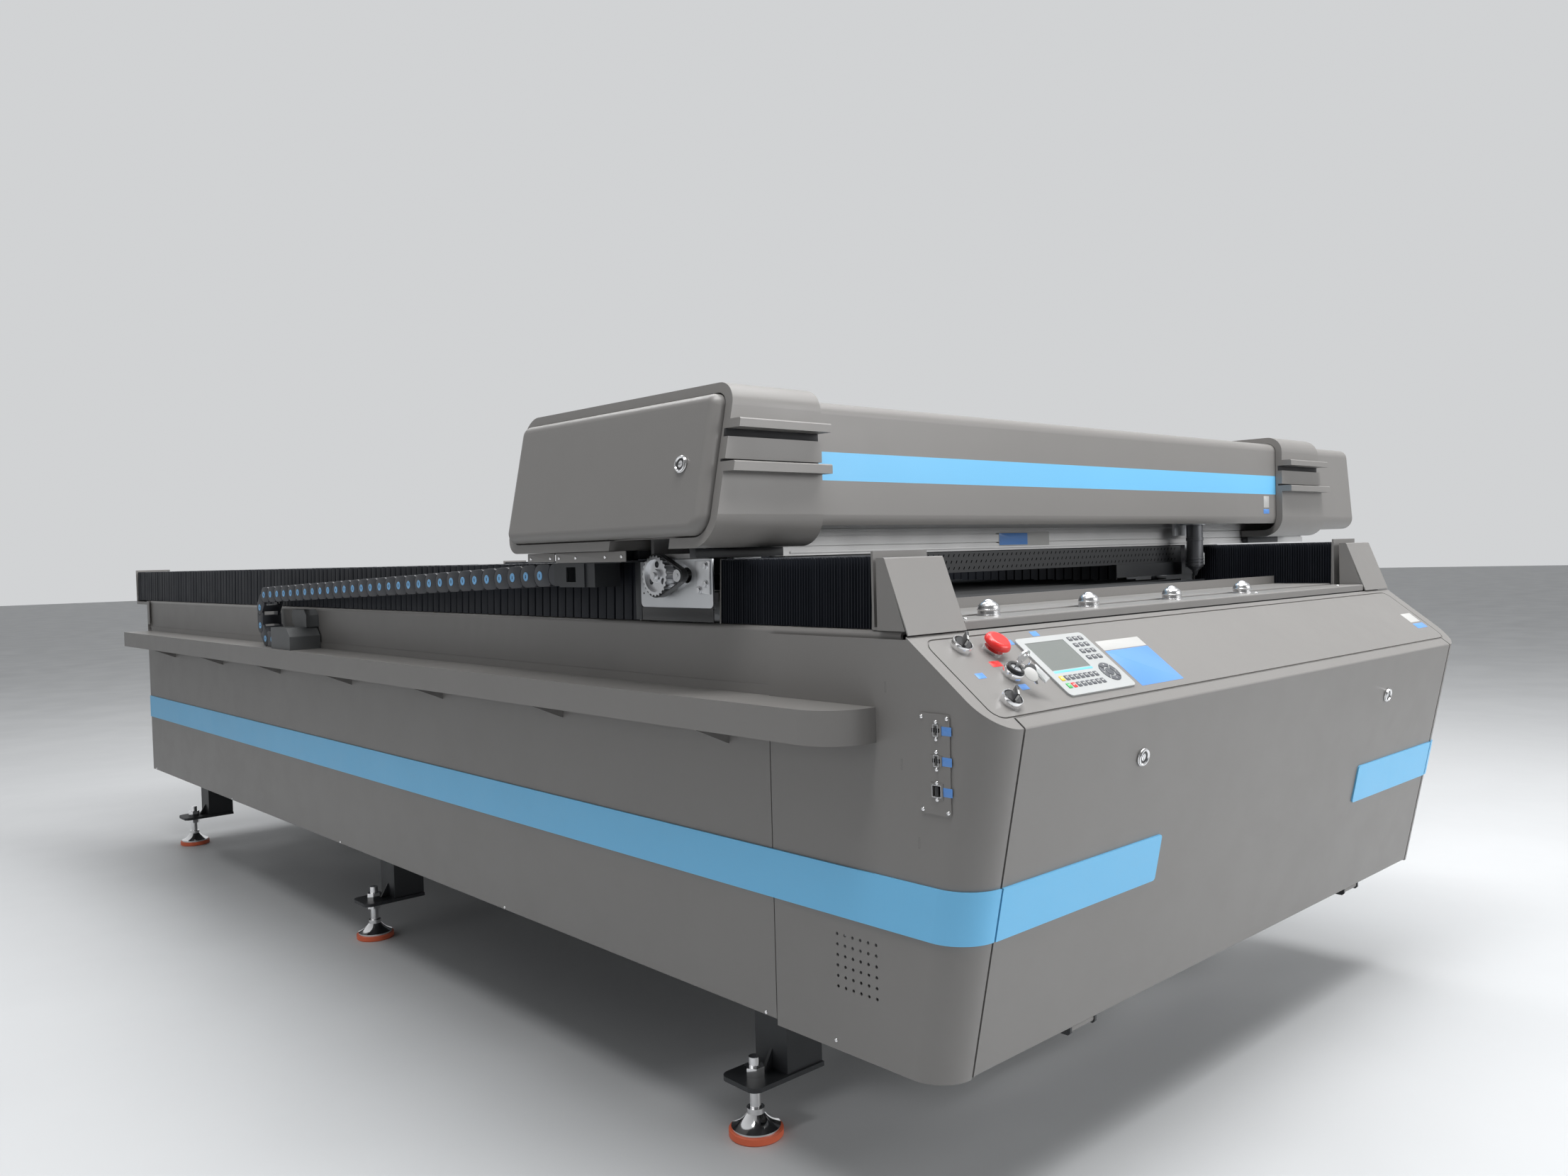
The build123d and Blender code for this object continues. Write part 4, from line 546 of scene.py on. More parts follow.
@dataclass
class Piece:
    """A mesh being built in machine millimetres.

    Args:
        name: Name of the object.
        finish: Surface that it gets.
        sharp: Edges that turn by more than this many degrees stay sharp.
        mesh: The faces so far.
    """

    name: str
    finish: Finish
    sharp: float = 34.0
    mesh: bmesh.types.BMesh = field(default_factory=bmesh.new)

    def skin(self, rows: Sequence[Sequence[Point]], ring: bool = True, caps: bool = True) -> None:
        """Stretches faces between rows of points.

        Args:
            rows: Rows with the same number of points.
            ring: Whether each row closes on itself.
            caps: Whether the first and last rows are filled.
        """
        verts = [[self.mesh.verts.new(p) for p in row] for row in rows]
        count = len(rows[0])
        for low, high in zip(verts, verts[1:]):
            for i in range(count if ring else count - 1):
                j = (i + 1) % count
                self.mesh.faces.new((low[i], low[j], high[j], high[i]))
        if ring and caps:
            self.mesh.faces.new(list(reversed(verts[0])))
            self.mesh.faces.new(verts[-1])

    def lathe(self, profile: Sequence[Flat], where: Matrix, steps: int = 32, caps: bool = False) -> None:
        """Turns a profile of radii and heights round its frame's Z, with or without filled ends."""
        rows = [[where @ Vector((*p, height)) for p in circle(radius, steps)] for radius, height in profile]
        self.skin(rows, caps=caps)

    def prism(self, outline: Sequence[Flat], where: Matrix, depth: float) -> None:
        """Raises an anticlockwise outline along its frame's Z, with square edges."""
        self.skin([[where @ Vector((*p, z)) for p in outline] for z in (0.0, depth)])

    def rim(self, outer: Sequence[Flat], inner: Sequence[Flat], where: Matrix, height: float) -> None:
        """Adds a flat-topped frame between two outlines with the same number of corners.

        Args:
            outer: Outer outline.
            inner: Inner outline.
            where: Frame of both outlines.
            height: Height of the rim.
        """
        loops = ((outer, 0.0), (outer, height), (inner, height), (inner, 0.0))
        rows = [[where @ Vector((*p, z)) for p in outline] for outline, z in loops]
        self.skin([*rows, rows[0]], caps=False)

    def label(self, wide: float, tall: float, radius: float, where: Matrix) -> None:
        """Adds a thin blank label with rounded corners about a frame's origin."""
        self.raised(oblong(wide, tall, radius), where, TAG_THICK, TAG_EDGE)

    def raised(self, outline: Sequence[Flat], where: Matrix, depth: float, edge: float = 0.4) -> None:
        """Raises an outline along its frame's Z and rounds its top edge.

        Args:
            outline: Corners, anticlockwise seen from the frame's +Z.
            where: Frame of the outline.
            depth: Height of the piece.
            edge: Radius of the top edge.
        """
        levels = [(0.0, 0.0)]
        for turn in (0.0, 45.0, 90.0):
            angle = math.radians(turn)
            levels.append((depth - edge + edge * math.sin(angle), edge * (1.0 - math.cos(angle))))
        self.skin([[where @ Vector((*p, z)) for p in inset(outline, by)] for z, by in levels])

    def sweep(self, path: Sequence[Point], radius: float, closed: bool = False, steps: int = 10) -> None:
        """Carries a round section along a path.

        Args:
            path: Points in machine millimetres.
            radius: Radius of the section.
            closed: Whether the path returns to its start.
            steps: Segments round the section.
        """
        points = [Vector(p) for p in path]
        count = len(points)
        rows: list[list[Vector]] = []
        side = Vector((0.31, 0.17, 0.93))
        for i, here in enumerate(points):
            back = points[i - 1] if closed or i else here
            ahead = points[(i + 1) % count] if closed or i < count - 1 else here
            along = (ahead - back).normalized()
            side = (side - side.dot(along) * along).normalized()
            other = along.cross(side)
            rows.append([here + radius * (x * side + y * other) for x, y in circle(1.0, steps)])
        if closed:
            rows.append(rows[0])
        self.skin(rows, caps=not closed)

    def block(self, low: Point, high: Point, edge: float = 0.0) -> None:
        """Adds a box with rounded edges.

        Args:
            low: Lowest corner.
            high: Highest corner.
            edge: Radius of its edges.
        """
        size = Vector(high) - Vector(low)
        centre = Matrix.Translation((Vector(high) + Vector(low)) / 2)
        made = bmesh.ops.create_cube(self.mesh, size=1.0, matrix=centre @ Matrix.Diagonal((*size, 1.0)))
        if edge:
            edges = list(dict.fromkeys(e for v in made["verts"] for e in v.link_edges))
            bmesh.ops.bevel(self.mesh, geom=edges, offset=edge, segments=2, affect="EDGES", profile=0.5)

    def done(self, body: str | None = None, stands_for: Sequence[str] = ()) -> bpy.types.Object:
        """Closes the mesh and puts it in the scene.

        Args:
            body: CAD body that the piece rides on, or None where the caller joins it itself.
            stands_for: CAD nodes that it replaces.

        Returns:
            The object.
        """
        made = self.shaped(place)
        if body:
            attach(made, body)
        if stands_for:
            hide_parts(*stands_for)
        return made

    def shaped(self, where: Callable[[Vector], Vector]) -> bpy.types.Object:
        """Closes the mesh and makes its object.

        Args:
            where: Turns a point of the mesh into metres.

        Returns:
            The object, linked to the scene.
        """
        bmesh.ops.remove_doubles(self.mesh, verts=self.mesh.verts, dist=0.001)
        bmesh.ops.recalc_face_normals(self.mesh, faces=self.mesh.faces)
        limit = math.radians(self.sharp)
        for edge in self.mesh.edges:
            edge.smooth = len(edge.link_faces) == 2 and edge.calc_face_angle(0.0) < limit
        for face in self.mesh.faces:
            face.smooth = True
        for vert in self.mesh.verts:
            vert.co = where(vert.co)
        data = bpy.data.meshes.new(self.name)
        self.mesh.to_mesh(data)
        self.mesh.free()
        data.materials.append(self.finish.material())
        made = bpy.data.objects.new(self.name, data)
        bpy.context.scene.collection.objects.link(made)
        return made


@dataclass
class Repeater:
    """Sets copies of a unit piece at given places with a Geometry Nodes group.

    Args:
        name: Name of the finished piece.
        unit: The piece to repeat, drawn about its own origin in millimetres.
        wobble: Largest turn in degrees by which each copy sits off its place.
        seed: Seed of that turn.
    """

    name: str
    unit: Piece
    wobble: float = 0.0
    seed: int = 11

    def _group(self) -> bpy.types.GeometryNodeTree:
        """Builds the tree that sets, turns, realizes and paints the copies.

        Returns:
            The tree, with an input for each size.
        """
        tree = bpy.data.node_groups.new(self.name + "_repeat", "GeometryNodeTree")
        kinds = {
            "Places": "NodeSocketGeometry", "Unit": "NodeSocketObject", "Wobble": "NodeSocketFloat",
            "Seed": "NodeSocketInt", "Finish": "NodeSocketMaterial",
        }
        for title, kind in kinds.items():
            tree.interface.new_socket(title, in_out="INPUT", socket_type=kind)
        tree.interface.new_socket("Pieces", in_out="OUTPUT", socket_type="NodeSocketGeometry")
        graph = Graph(tree)
        given = graph.node("NodeGroupInput").outputs
        kept = graph.node("GeometryNodeInputNamedAttribute", {"Name": "turn"}, data_type="FLOAT_VECTOR")
        turn = graph.node("FunctionNodeEulerToRotation", {0: kept.outputs["Attribute"]})
        limits = {"Min": (-1, -1, -1), "Max": (1, 1, 1), "Seed": given["Seed"]}
        scatter = graph.node("FunctionNodeRandomValue", limits, data_type="FLOAT_VECTOR")
        sway = {0: scatter.outputs[0], "Scale": given["Wobble"]}
        swing = graph.node("ShaderNodeVectorMath", sway, operation="SCALE")
        off = graph.node("FunctionNodeEulerToRotation", {0: swing.outputs[0]})
        both = {0: turn.outputs[0], 1: off.outputs[0]}
        rotation = graph.node("FunctionNodeRotateRotation", both, rotation_space="LOCAL")
        source = graph.node("GeometryNodeObjectInfo", {"Object": given["Unit"]})
        copies = {
            "Points": given["Places"], "Instance": source.outputs["Geometry"], "Rotation": rotation.outputs[0],
        }
        spread = graph.node("GeometryNodeInstanceOnPoints", copies)
        real = graph.node("GeometryNodeRealizeInstances", {0: spread.outputs[0]})
        dress = graph.node("GeometryNodeSetMaterial", {"Geometry": real.outputs[0], "Material": given["Finish"]})
        graph.node("NodeGroupOutput", {0: dress.outputs[0]})
        return tree

    def at(self, places: Sequence[Matrix], body: str, stands_for: Sequence[str] = ()) -> bpy.types.Object:
        """Makes the copies as one plain mesh.

        Args:
            places: Frames of the copies in machine millimetres.
            body: CAD body that they ride on.
            stands_for: CAD nodes that they replace.

        Returns:
            The object.
        """
        unit = self.unit.shaped(lambda point: Vector(point) * MILLI)
        data = bpy.data.meshes.new(self.name + "_places")
        data.from_pydata([place(where.translation) for where in places], [], [])
        turns = data.attributes.new("turn", "FLOAT_VECTOR", "POINT")
        for i, where in enumerate(places):
            turns.data[i].vector = where.to_euler()
        made = bpy.data.objects.new(self.name, data)
        bpy.context.scene.collection.objects.link(made)
        tree = self._group()
        values = {
            "Unit": unit, "Wobble": math.radians(self.wobble), "Seed": self.seed,
            "Finish": self.unit.finish.material(),
        }
        modifier = made.modifiers.new("repeat", "NODES")
        modifier.node_group = tree
        for socket in tree.interface.items_tree:
            if socket.name in values:
                modifier[socket.identifier] = values[socket.name]
        made.update_tag()
        graph = bpy.context.evaluated_depsgraph_get()
        whole = bpy.data.meshes.new_from_object(made.evaluated_get(graph), depsgraph=graph)
        made.modifiers.remove(modifier)
        made.data = whole
        whole.materials.clear()
        whole.materials.append(self.unit.finish.material())
        bpy.data.objects.remove(unit)
        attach(made, body)
        if stands_for:
            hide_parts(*stands_for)
        return made


# Outlines


def inset(outline: Sequence[Flat], amount: float) -> list[Flat]:
    """Draws a closed anticlockwise outline inwards.

    Args:
        outline: Its corners.
        amount: Distance that each side moves.

    Returns:
        The smaller outline, with as many corners.
    """
    points: list[Flat] = []
    count = len(outline)
    sharpest = 0.8  # keeps the point of a very sharp corner near its sides
    for i, corner in enumerate(outline):
        here = Vector(corner)
        back = (here - Vector(outline[i - 1])).normalized()
        ahead = (Vector(outline[(i + 1) % count]) - here).normalized()
        inwards = Vector((-back.y - ahead.y, back.x + ahead.x))
        inwards *= 2.0 / max(inwards.length_squared, sharpest)
        points.append(tuple(here + inwards * amount))
    return points


def rectangle(wide: float, tall: float) -> list[Flat]:
    """Draws a rectangle about the origin, anticlockwise."""
    x, y = wide / 2, tall / 2
    return [(-x, -y), (x, -y), (x, y), (-x, y)]


def oblong(wide: float, tall: float, radius: float, steps: int = 4) -> list[Flat]:
    """Draws a rectangle about the origin with rounded corners, anticlockwise."""
    return rounded(rectangle(wide, tall), [radius] * 4, steps)


def circle(radius: float, steps: int = 24) -> list[Flat]:
    """Draws a circle about the origin, anticlockwise."""
    turns = [FULL_TURN * i / steps for i in range(steps)]
    return [(radius * math.cos(a), radius * math.sin(a)) for a in turns]


def arc(centre: Flat, radius: float, first: float, last: float, steps: int = 10) -> list[Flat]:
    """Draws an arc between two angles in degrees."""
    turns = [math.radians(first + (last - first) * i / steps) for i in range(steps + 1)]
    return [(centre[0] + radius * math.cos(a), centre[1] + radius * math.sin(a)) for a in turns]


def rounded(corners: Sequence[Flat], radii: Sequence[float], steps: int = 6) -> list[Flat]:
    """Rounds the corners of an outline.

    Args:
        corners: Corners in order.
        radii: Radius at each corner, 0 to keep it sharp.
        steps: Segments per rounded corner.

    Returns:
        Points of the rounded outline.
    """
    points: list[Flat] = []
    count = len(corners)
    for i, (corner, radius) in enumerate(zip(corners, radii)):
        here = Vector(corner)
        back = (Vector(corners[i - 1]) - here).normalized()
        ahead = (Vector(corners[(i + 1) % count]) - here).normalized()
        if radius <= 0.0:
            points.append(tuple(here))
            continue
        half = back.angle(ahead) / 2
        start = here + back * radius / math.tan(half)
        end = here + ahead * radius / math.tan(half)
        centre = here + (back + ahead).normalized() * radius / math.sin(half)
        first, last = start - centre, end - centre
        for k in range(steps + 1):
            points.append(tuple(centre + first.slerp(last, k / steps)))
    return points


def smooth_path(points: Sequence[Point], steps: int = 5) -> list[Vector]:
    """Draws a soft line through points.

    Args:
        points: Points that the line passes.
        steps: Parts between two points.

    Returns:
        Points of the line.
    """
    ends = [Vector(p) for p in (points[0], *points, points[-1])]
    line: list[Vector] = []
    for a, b, c, d in zip(ends, ends[1:], ends[2:], ends[3:]):
        for k in range(steps):
            t = k / steps
            pull = (2 * b, c - a, 2 * a - 5 * b + 4 * c - d, 3 * b - a - 3 * c + d)
            line.append(0.5 * (pull[0] + pull[1] * t + pull[2] * t * t + pull[3] * t**3))
    return [*line, ends[-1]]


# Bellows


@dataclass(frozen=True)
class Bellows:
    """A pleated way cover over a guide rail, folded from coated cloth.

    Args:
        name: Name of the piece.
        start: Y of its front end.
        end: Y of its rear end.
        folds: Number of folds.
        depth: Depth of a fold.
        flat: Share of each fold that its outer band takes.
        low: Height of its foot.
        high: Height of its top.
        thickness: Thickness of the cloth and its stiffeners.
        corner: Radius of the two upper corners.
        slack: Largest share of the depth by which a fold hangs back.
        lean: Largest share of the depth by which an outer band bows.
        shift: Largest share of the pitch by which a fold starts late or early.
        edge: Share of the depth that an outer band's two edges lose.
    """

    name: str
    start: float
    end: float
    folds: int
    depth: float
    flat: float
    low: float = 859.0
    high: float = 964.0
    thickness: float = 1.4
    corner: float = 4.0
    slack: float = 0.08
    lean: float = 0.05
    shift: float = 0.03
    edge: float = 0.06

    def outline(self, span: Flat, inset_by: float, y: float) -> list[Point]:
        """Draws one cross-section, from the foot of one side over the top to the other foot.

        Args:
            span: X range of the cover.
            inset_by: Distance that the section is drawn in.
            y: Its place along the rail.

        Returns:
            Points of the section.
        """
        left, right = span[0] + inset_by, span[1] - inset_by
        top = self.high - inset_by
        corners = [(left, self.low), (left, top), (right, top), (right, self.low)]
        flat = rounded(corners, (0.0, self.corner, self.corner, 0.0), steps=3)
        return [(x, y, z) for x, z in flat]

    def sections(self, span: Flat) -> list[list[Point]]:
        """Draws the cross-sections of one cover, fold after fold.

        Args:
            span: X range of the cover.

        Returns:
            The sections from front to rear.
        """
        pitch = (self.end - self.start) / self.folds
        rows: list[list[Point]] = []
        for k in range(self.folds):
            y = self.start + pitch * k
            slack = random.uniform(0.0, self.slack) * self.depth
            lean = random.uniform(-self.lean, self.lean) * self.depth
            shift = random.uniform(-self.shift, self.shift) * pitch if k else 0.0
            first, last = y + shift + self.shift * pitch, y + self.flat * pitch
            bulge = 0.5 * (first + last)
            valley = y + (0.5 + self.flat / 2) * pitch
            rows.append(self.outline(span, slack + self.edge * self.depth, first))
            rows.append(self.outline(span, max(slack + lean, 0.0), bulge))
            rows.append(self.outline(span, slack + self.edge * self.depth, last))
            rows.append(self.outline(span, self.depth - slack, valley))
        rows.append(self.outline(span, 0.0, self.end))
        return rows

    def build(self) -> bpy.types.Object:
        """Makes the covers of both rails as one mesh.

        Returns:
            The object, not yet joined to a body.
        """
        piece = Piece(self.name, CLOTH, sharp=28.0)
        random.seed(self.folds)
        for span in BELLOWS_SPANS:
            outer = self.sections(span)
            inner = [[self._inward(p, span) for p in row] for row in outer]
            piece.skin([row + list(reversed(back)) for row, back in zip(outer, inner)])
        return piece.done()

    def _inward(self, point: Point, span: Flat) -> Point:
        """Moves a point of the outer skin to the inner one.

        Args:
            point: Point of a cross-section.
            span: X range of the cover.

        Returns:
            The point one thickness further in.
        """
        x, y, z = point
        side = -1.0 if x > (span[0] + span[1]) / 2 else 1.0
        at_top = z > self.high - self.depth - (self.corner + 1.0)
        return (x + side * self.thickness, y, z - (self.thickness if at_top else 0.0))


def end_board(name: str, rows: Sequence[Flat], body: str) -> bpy.types.Object:
    """Makes the stiff boards that close the bellows' ends.

    Args:
        name: Name of the piece.
        rows: Y ranges of the boards.
        body: CAD body that they are screwed to.

    Returns:
        The object.
    """
    piece = Piece(name, GREY)
    low, high, over = 858.6, 965.0, 0.8
    for near, far in rows:
        for left, right in BELLOWS_SPANS:
            outline = [(left - over, low), (right + over, low), (right + over, high), (left - over, high)]
            where = on_front(0.0, 0.0, far)
            piece.raised(rounded(outline, (0.5, 0.5, 5.0, 5.0)), where, far - near, 0.6)
    return piece.done(body)


def dress_bellows() -> list[bpy.types.Object]:
    """Makes the front and rear bellows and their end boards, and joins the rear bellows and the boards to the machine.

    Returns:
        The pieces.
    """
    front_start, front_end = 221.8, 549.8
    rear_start, rear_end, travel = 768.2, 3898.8, 2500.0
    front = Bellows("bellows_front_pleats", front_start, front_end, 58, 9.0, 0.30).build()
    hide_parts("bellows_front")
    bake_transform(front)
    rear = Bellows("bellows_rear_pleats", rear_start, rear_end, 116, 14.0, 0.86).build()
    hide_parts("bellows_rear")
    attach(rear, "base")
    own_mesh(rear)
    fixed = end_board("bellows_boards_fixed", [(219.3, 221.6), (3899.0, 3901.6)], "base")
    moving = end_board("bellows_boards_moving", [(550.0, 552.4), (765.6, 768.0)], "gantry")
    return [front, rear, fixed, moving]


# Cable chain

# Lays an outline drawn in X and Y upright along the chain, its depth to the right
UPRIGHT = Matrix(((0, 0, 1, 0), (1, 0, 0, 0), (0, 1, 0, 0), (0, 0, 0, 1)))


@dataclass(frozen=True)
class CableChain:
    """The nylon chain that carries the cables, link by link, with a round cap on each pivot.

    Args:
        start: Y of the first pivot.
        height: Z of the first pivot.
        pitch: Length of a link.
        links: Links of the upper run.
        low: Z of the lower run's pivots.
        turn: Angle between links in the bend, in degrees.
        left: X of the outer side.
        width: Width over the side plates.
        half: Half the height of a side plate.
        plate: Thickness of a side plate and of a crossbar.
        tongue: Thickness of the tongue that the next link's plates cover.
    """

    start: float = 933.0
    height: float = 940.0
    pitch: float = 49.0
    links: int = 30
    low: float = 774.3
    turn: float = 45.0
    left: float = -55.0
    width: float = 50.0
    half: float = 20.4
    plate: float = 4.0
    tongue: float = 3.0

    def rows(self) -> dict[str, list[Matrix]]:
        """Gives the frames of the links at their rear pivots, for each body.

        Returns:
            CAD body to frames whose Y runs along the link.
        """
        end = self.start + self.links * self.pitch
        high = self.low + self.pitch * (1.0 + 2.0 * math.sin(math.radians(self.turn)))
        drop = self.height - high
        slope = -math.atan2(drop, self.links * self.pitch)
        upper = []
        for i in range(self.links):
            share = (i + 1) / self.links
            upper.append(self._frame(self.start + (end - self.start) * share, self.height - drop * share, slope))
        bend = []
        y, z = end, high
        for i in range(3):
            angle = math.radians(-self.turn * (i + 1))
            y, z = y + self.pitch * math.cos(angle), z + self.pitch * math.sin(angle)
            bend.append(self._frame(y, z, angle))
        lower = [self._frame(end - self.pitch * (i + 1), self.low, math.pi) for i in range(2)]
        return {"gantry": upper, "chain_bend": bend, "base": lower}

    def _frame(self, y: float, z: float, turn: float) -> Matrix:
        """Gives the frame of one pivot, turned about the pivot's axis."""
        return Matrix.Translation((self.left, y, z)) @ Matrix.Rotation(turn, 4, "X")

    def link(self) -> Piece:
        """Draws one link: two side plates that nest into the next link's, tongues and crossbars.

        Returns:
            The link about its rear pivot, X from its outer side.
        """
        piece = Piece("chain_link", CHAIN)
        half, wall = self.half, self.plate
        nose = arc((0.0, 0.0), half, -90, 90, 12)
        hollow = arc((-self.pitch, 0.0), half + 0.8, 52, -52, 8)
        plate = [*nose, (-29.0, half), *hollow, (-29.0, -half)]
        tongue = [*arc((-self.pitch, 0.0), 16.5, 65, 295, 12), (-25.0, -14.0), (-25.0, 14.0)]
        mirrored = Matrix.Diagonal((-1, 1, 1, 1)) @ Matrix.Translation((-wall, 0, 0)) @ UPRIGHT
        piece.raised(plate, mirrored, wall, 0.9)
        piece.raised(plate, Matrix.Translation((self.width - wall, 0, 0)) @ UPRIGHT, wall, 0.9)
        for x in (wall + 0.4, self.width - wall - 0.4 - self.tongue):
            piece.prism(tongue, Matrix.Translation((x, 0, 0)) @ UPRIGHT, self.tongue)
        for low in (-half + 0.3, half - 0.3 - wall):
            piece.block((3.0, -27.5, low), (self.width - 3.0, -3.5, low + wall), 1.0)
        return piece

    def cap(self) -> Piece:
        """Draws the round cap on a pivot.

        Returns:
            The cap about the pivot, proud of the outer side.
        """
        piece = Piece("chain_cap", CAP)
        profile = [(0.0, 0.0), (8.4, 0.0), (8.4, 0.7), (7.9, 1.0), (6.6, 1.0), (6.2, 0.8), (0.0, 0.8)]
        piece.lathe(profile, on_left(0, 0, 0.2), 24)
        return piece

    def mark(self) -> Piece:
        """Draws the slot that lets a driver turn a cap, as a dark inlay: painted shade of the slot.

        Returns:
            The slot about the pivot, in the cap's face.
        """
        piece = Piece("chain_mark", PLASTIC)
        piece.raised(oblong(1.3, 5.6, 0.5), on_left(0, 0, -0.4), 0.5, 0.1)
        return piece

    def build(self) -> list[bpy.types.Object]:
        """Makes the chain of every body.

        Returns:
            The pieces.
        """
        stands = {"gantry": "chain_upper", "chain_bend": "chain_bend", "base": "chain_lower"}
        made = []
        for body, places in self.rows().items():
            name = stands[body]
            made.append(Repeater(name + "_links", self.link(), 0.25).at(places, body, (name,)))
            made.append(Repeater(name + "_caps", self.cap()).at(places, body))
            made.append(Repeater(name + "_marks", self.mark(), 6.0).at(places, body))
        lug = Piece("chain_first_lug", CHAIN)
        radius = 19.5
        shape = [(-2.0, -radius), *arc((0.0, 0.0), radius, -80, 80, 10), (-2.0, radius)]
        lug.prism(shape, self._frame(self.start, self.height, 0.0) @ UPRIGHT, self.plate)
        made.append(lug.done("gantry"))
        return made


# Control desk


@dataclass(frozen=True)
class KeyGrid:
    """A grid of equal keys on the keypad.

    Args:
        first: X and distance up of the first key from the keypad's corner.
        pitch: Distance between columns and between rows.
        columns: Number of columns.
        rows: Number of rows.
        key: Width and height of a key.
    """

    first: Flat
    pitch: Flat
    columns: int
    rows: int
    key: Flat

    def spots(self, corner: Flat) -> list[tuple[int, int, float, float]]:
        """Gives row, column, X and distance up the desk of each key.

        Args:
            corner: X and distance up the desk of the keypad's corner.

        Returns:
            The keys, row after row.
        """
        left, low = corner[0] + self.first[0], corner[1] + self.first[1]
        across, up = self.pitch
        order = [(row, column) for row in range(self.rows) for column in range(self.columns)]
        return [(row, column, left + across * column, low + up * row) for row, column in order]


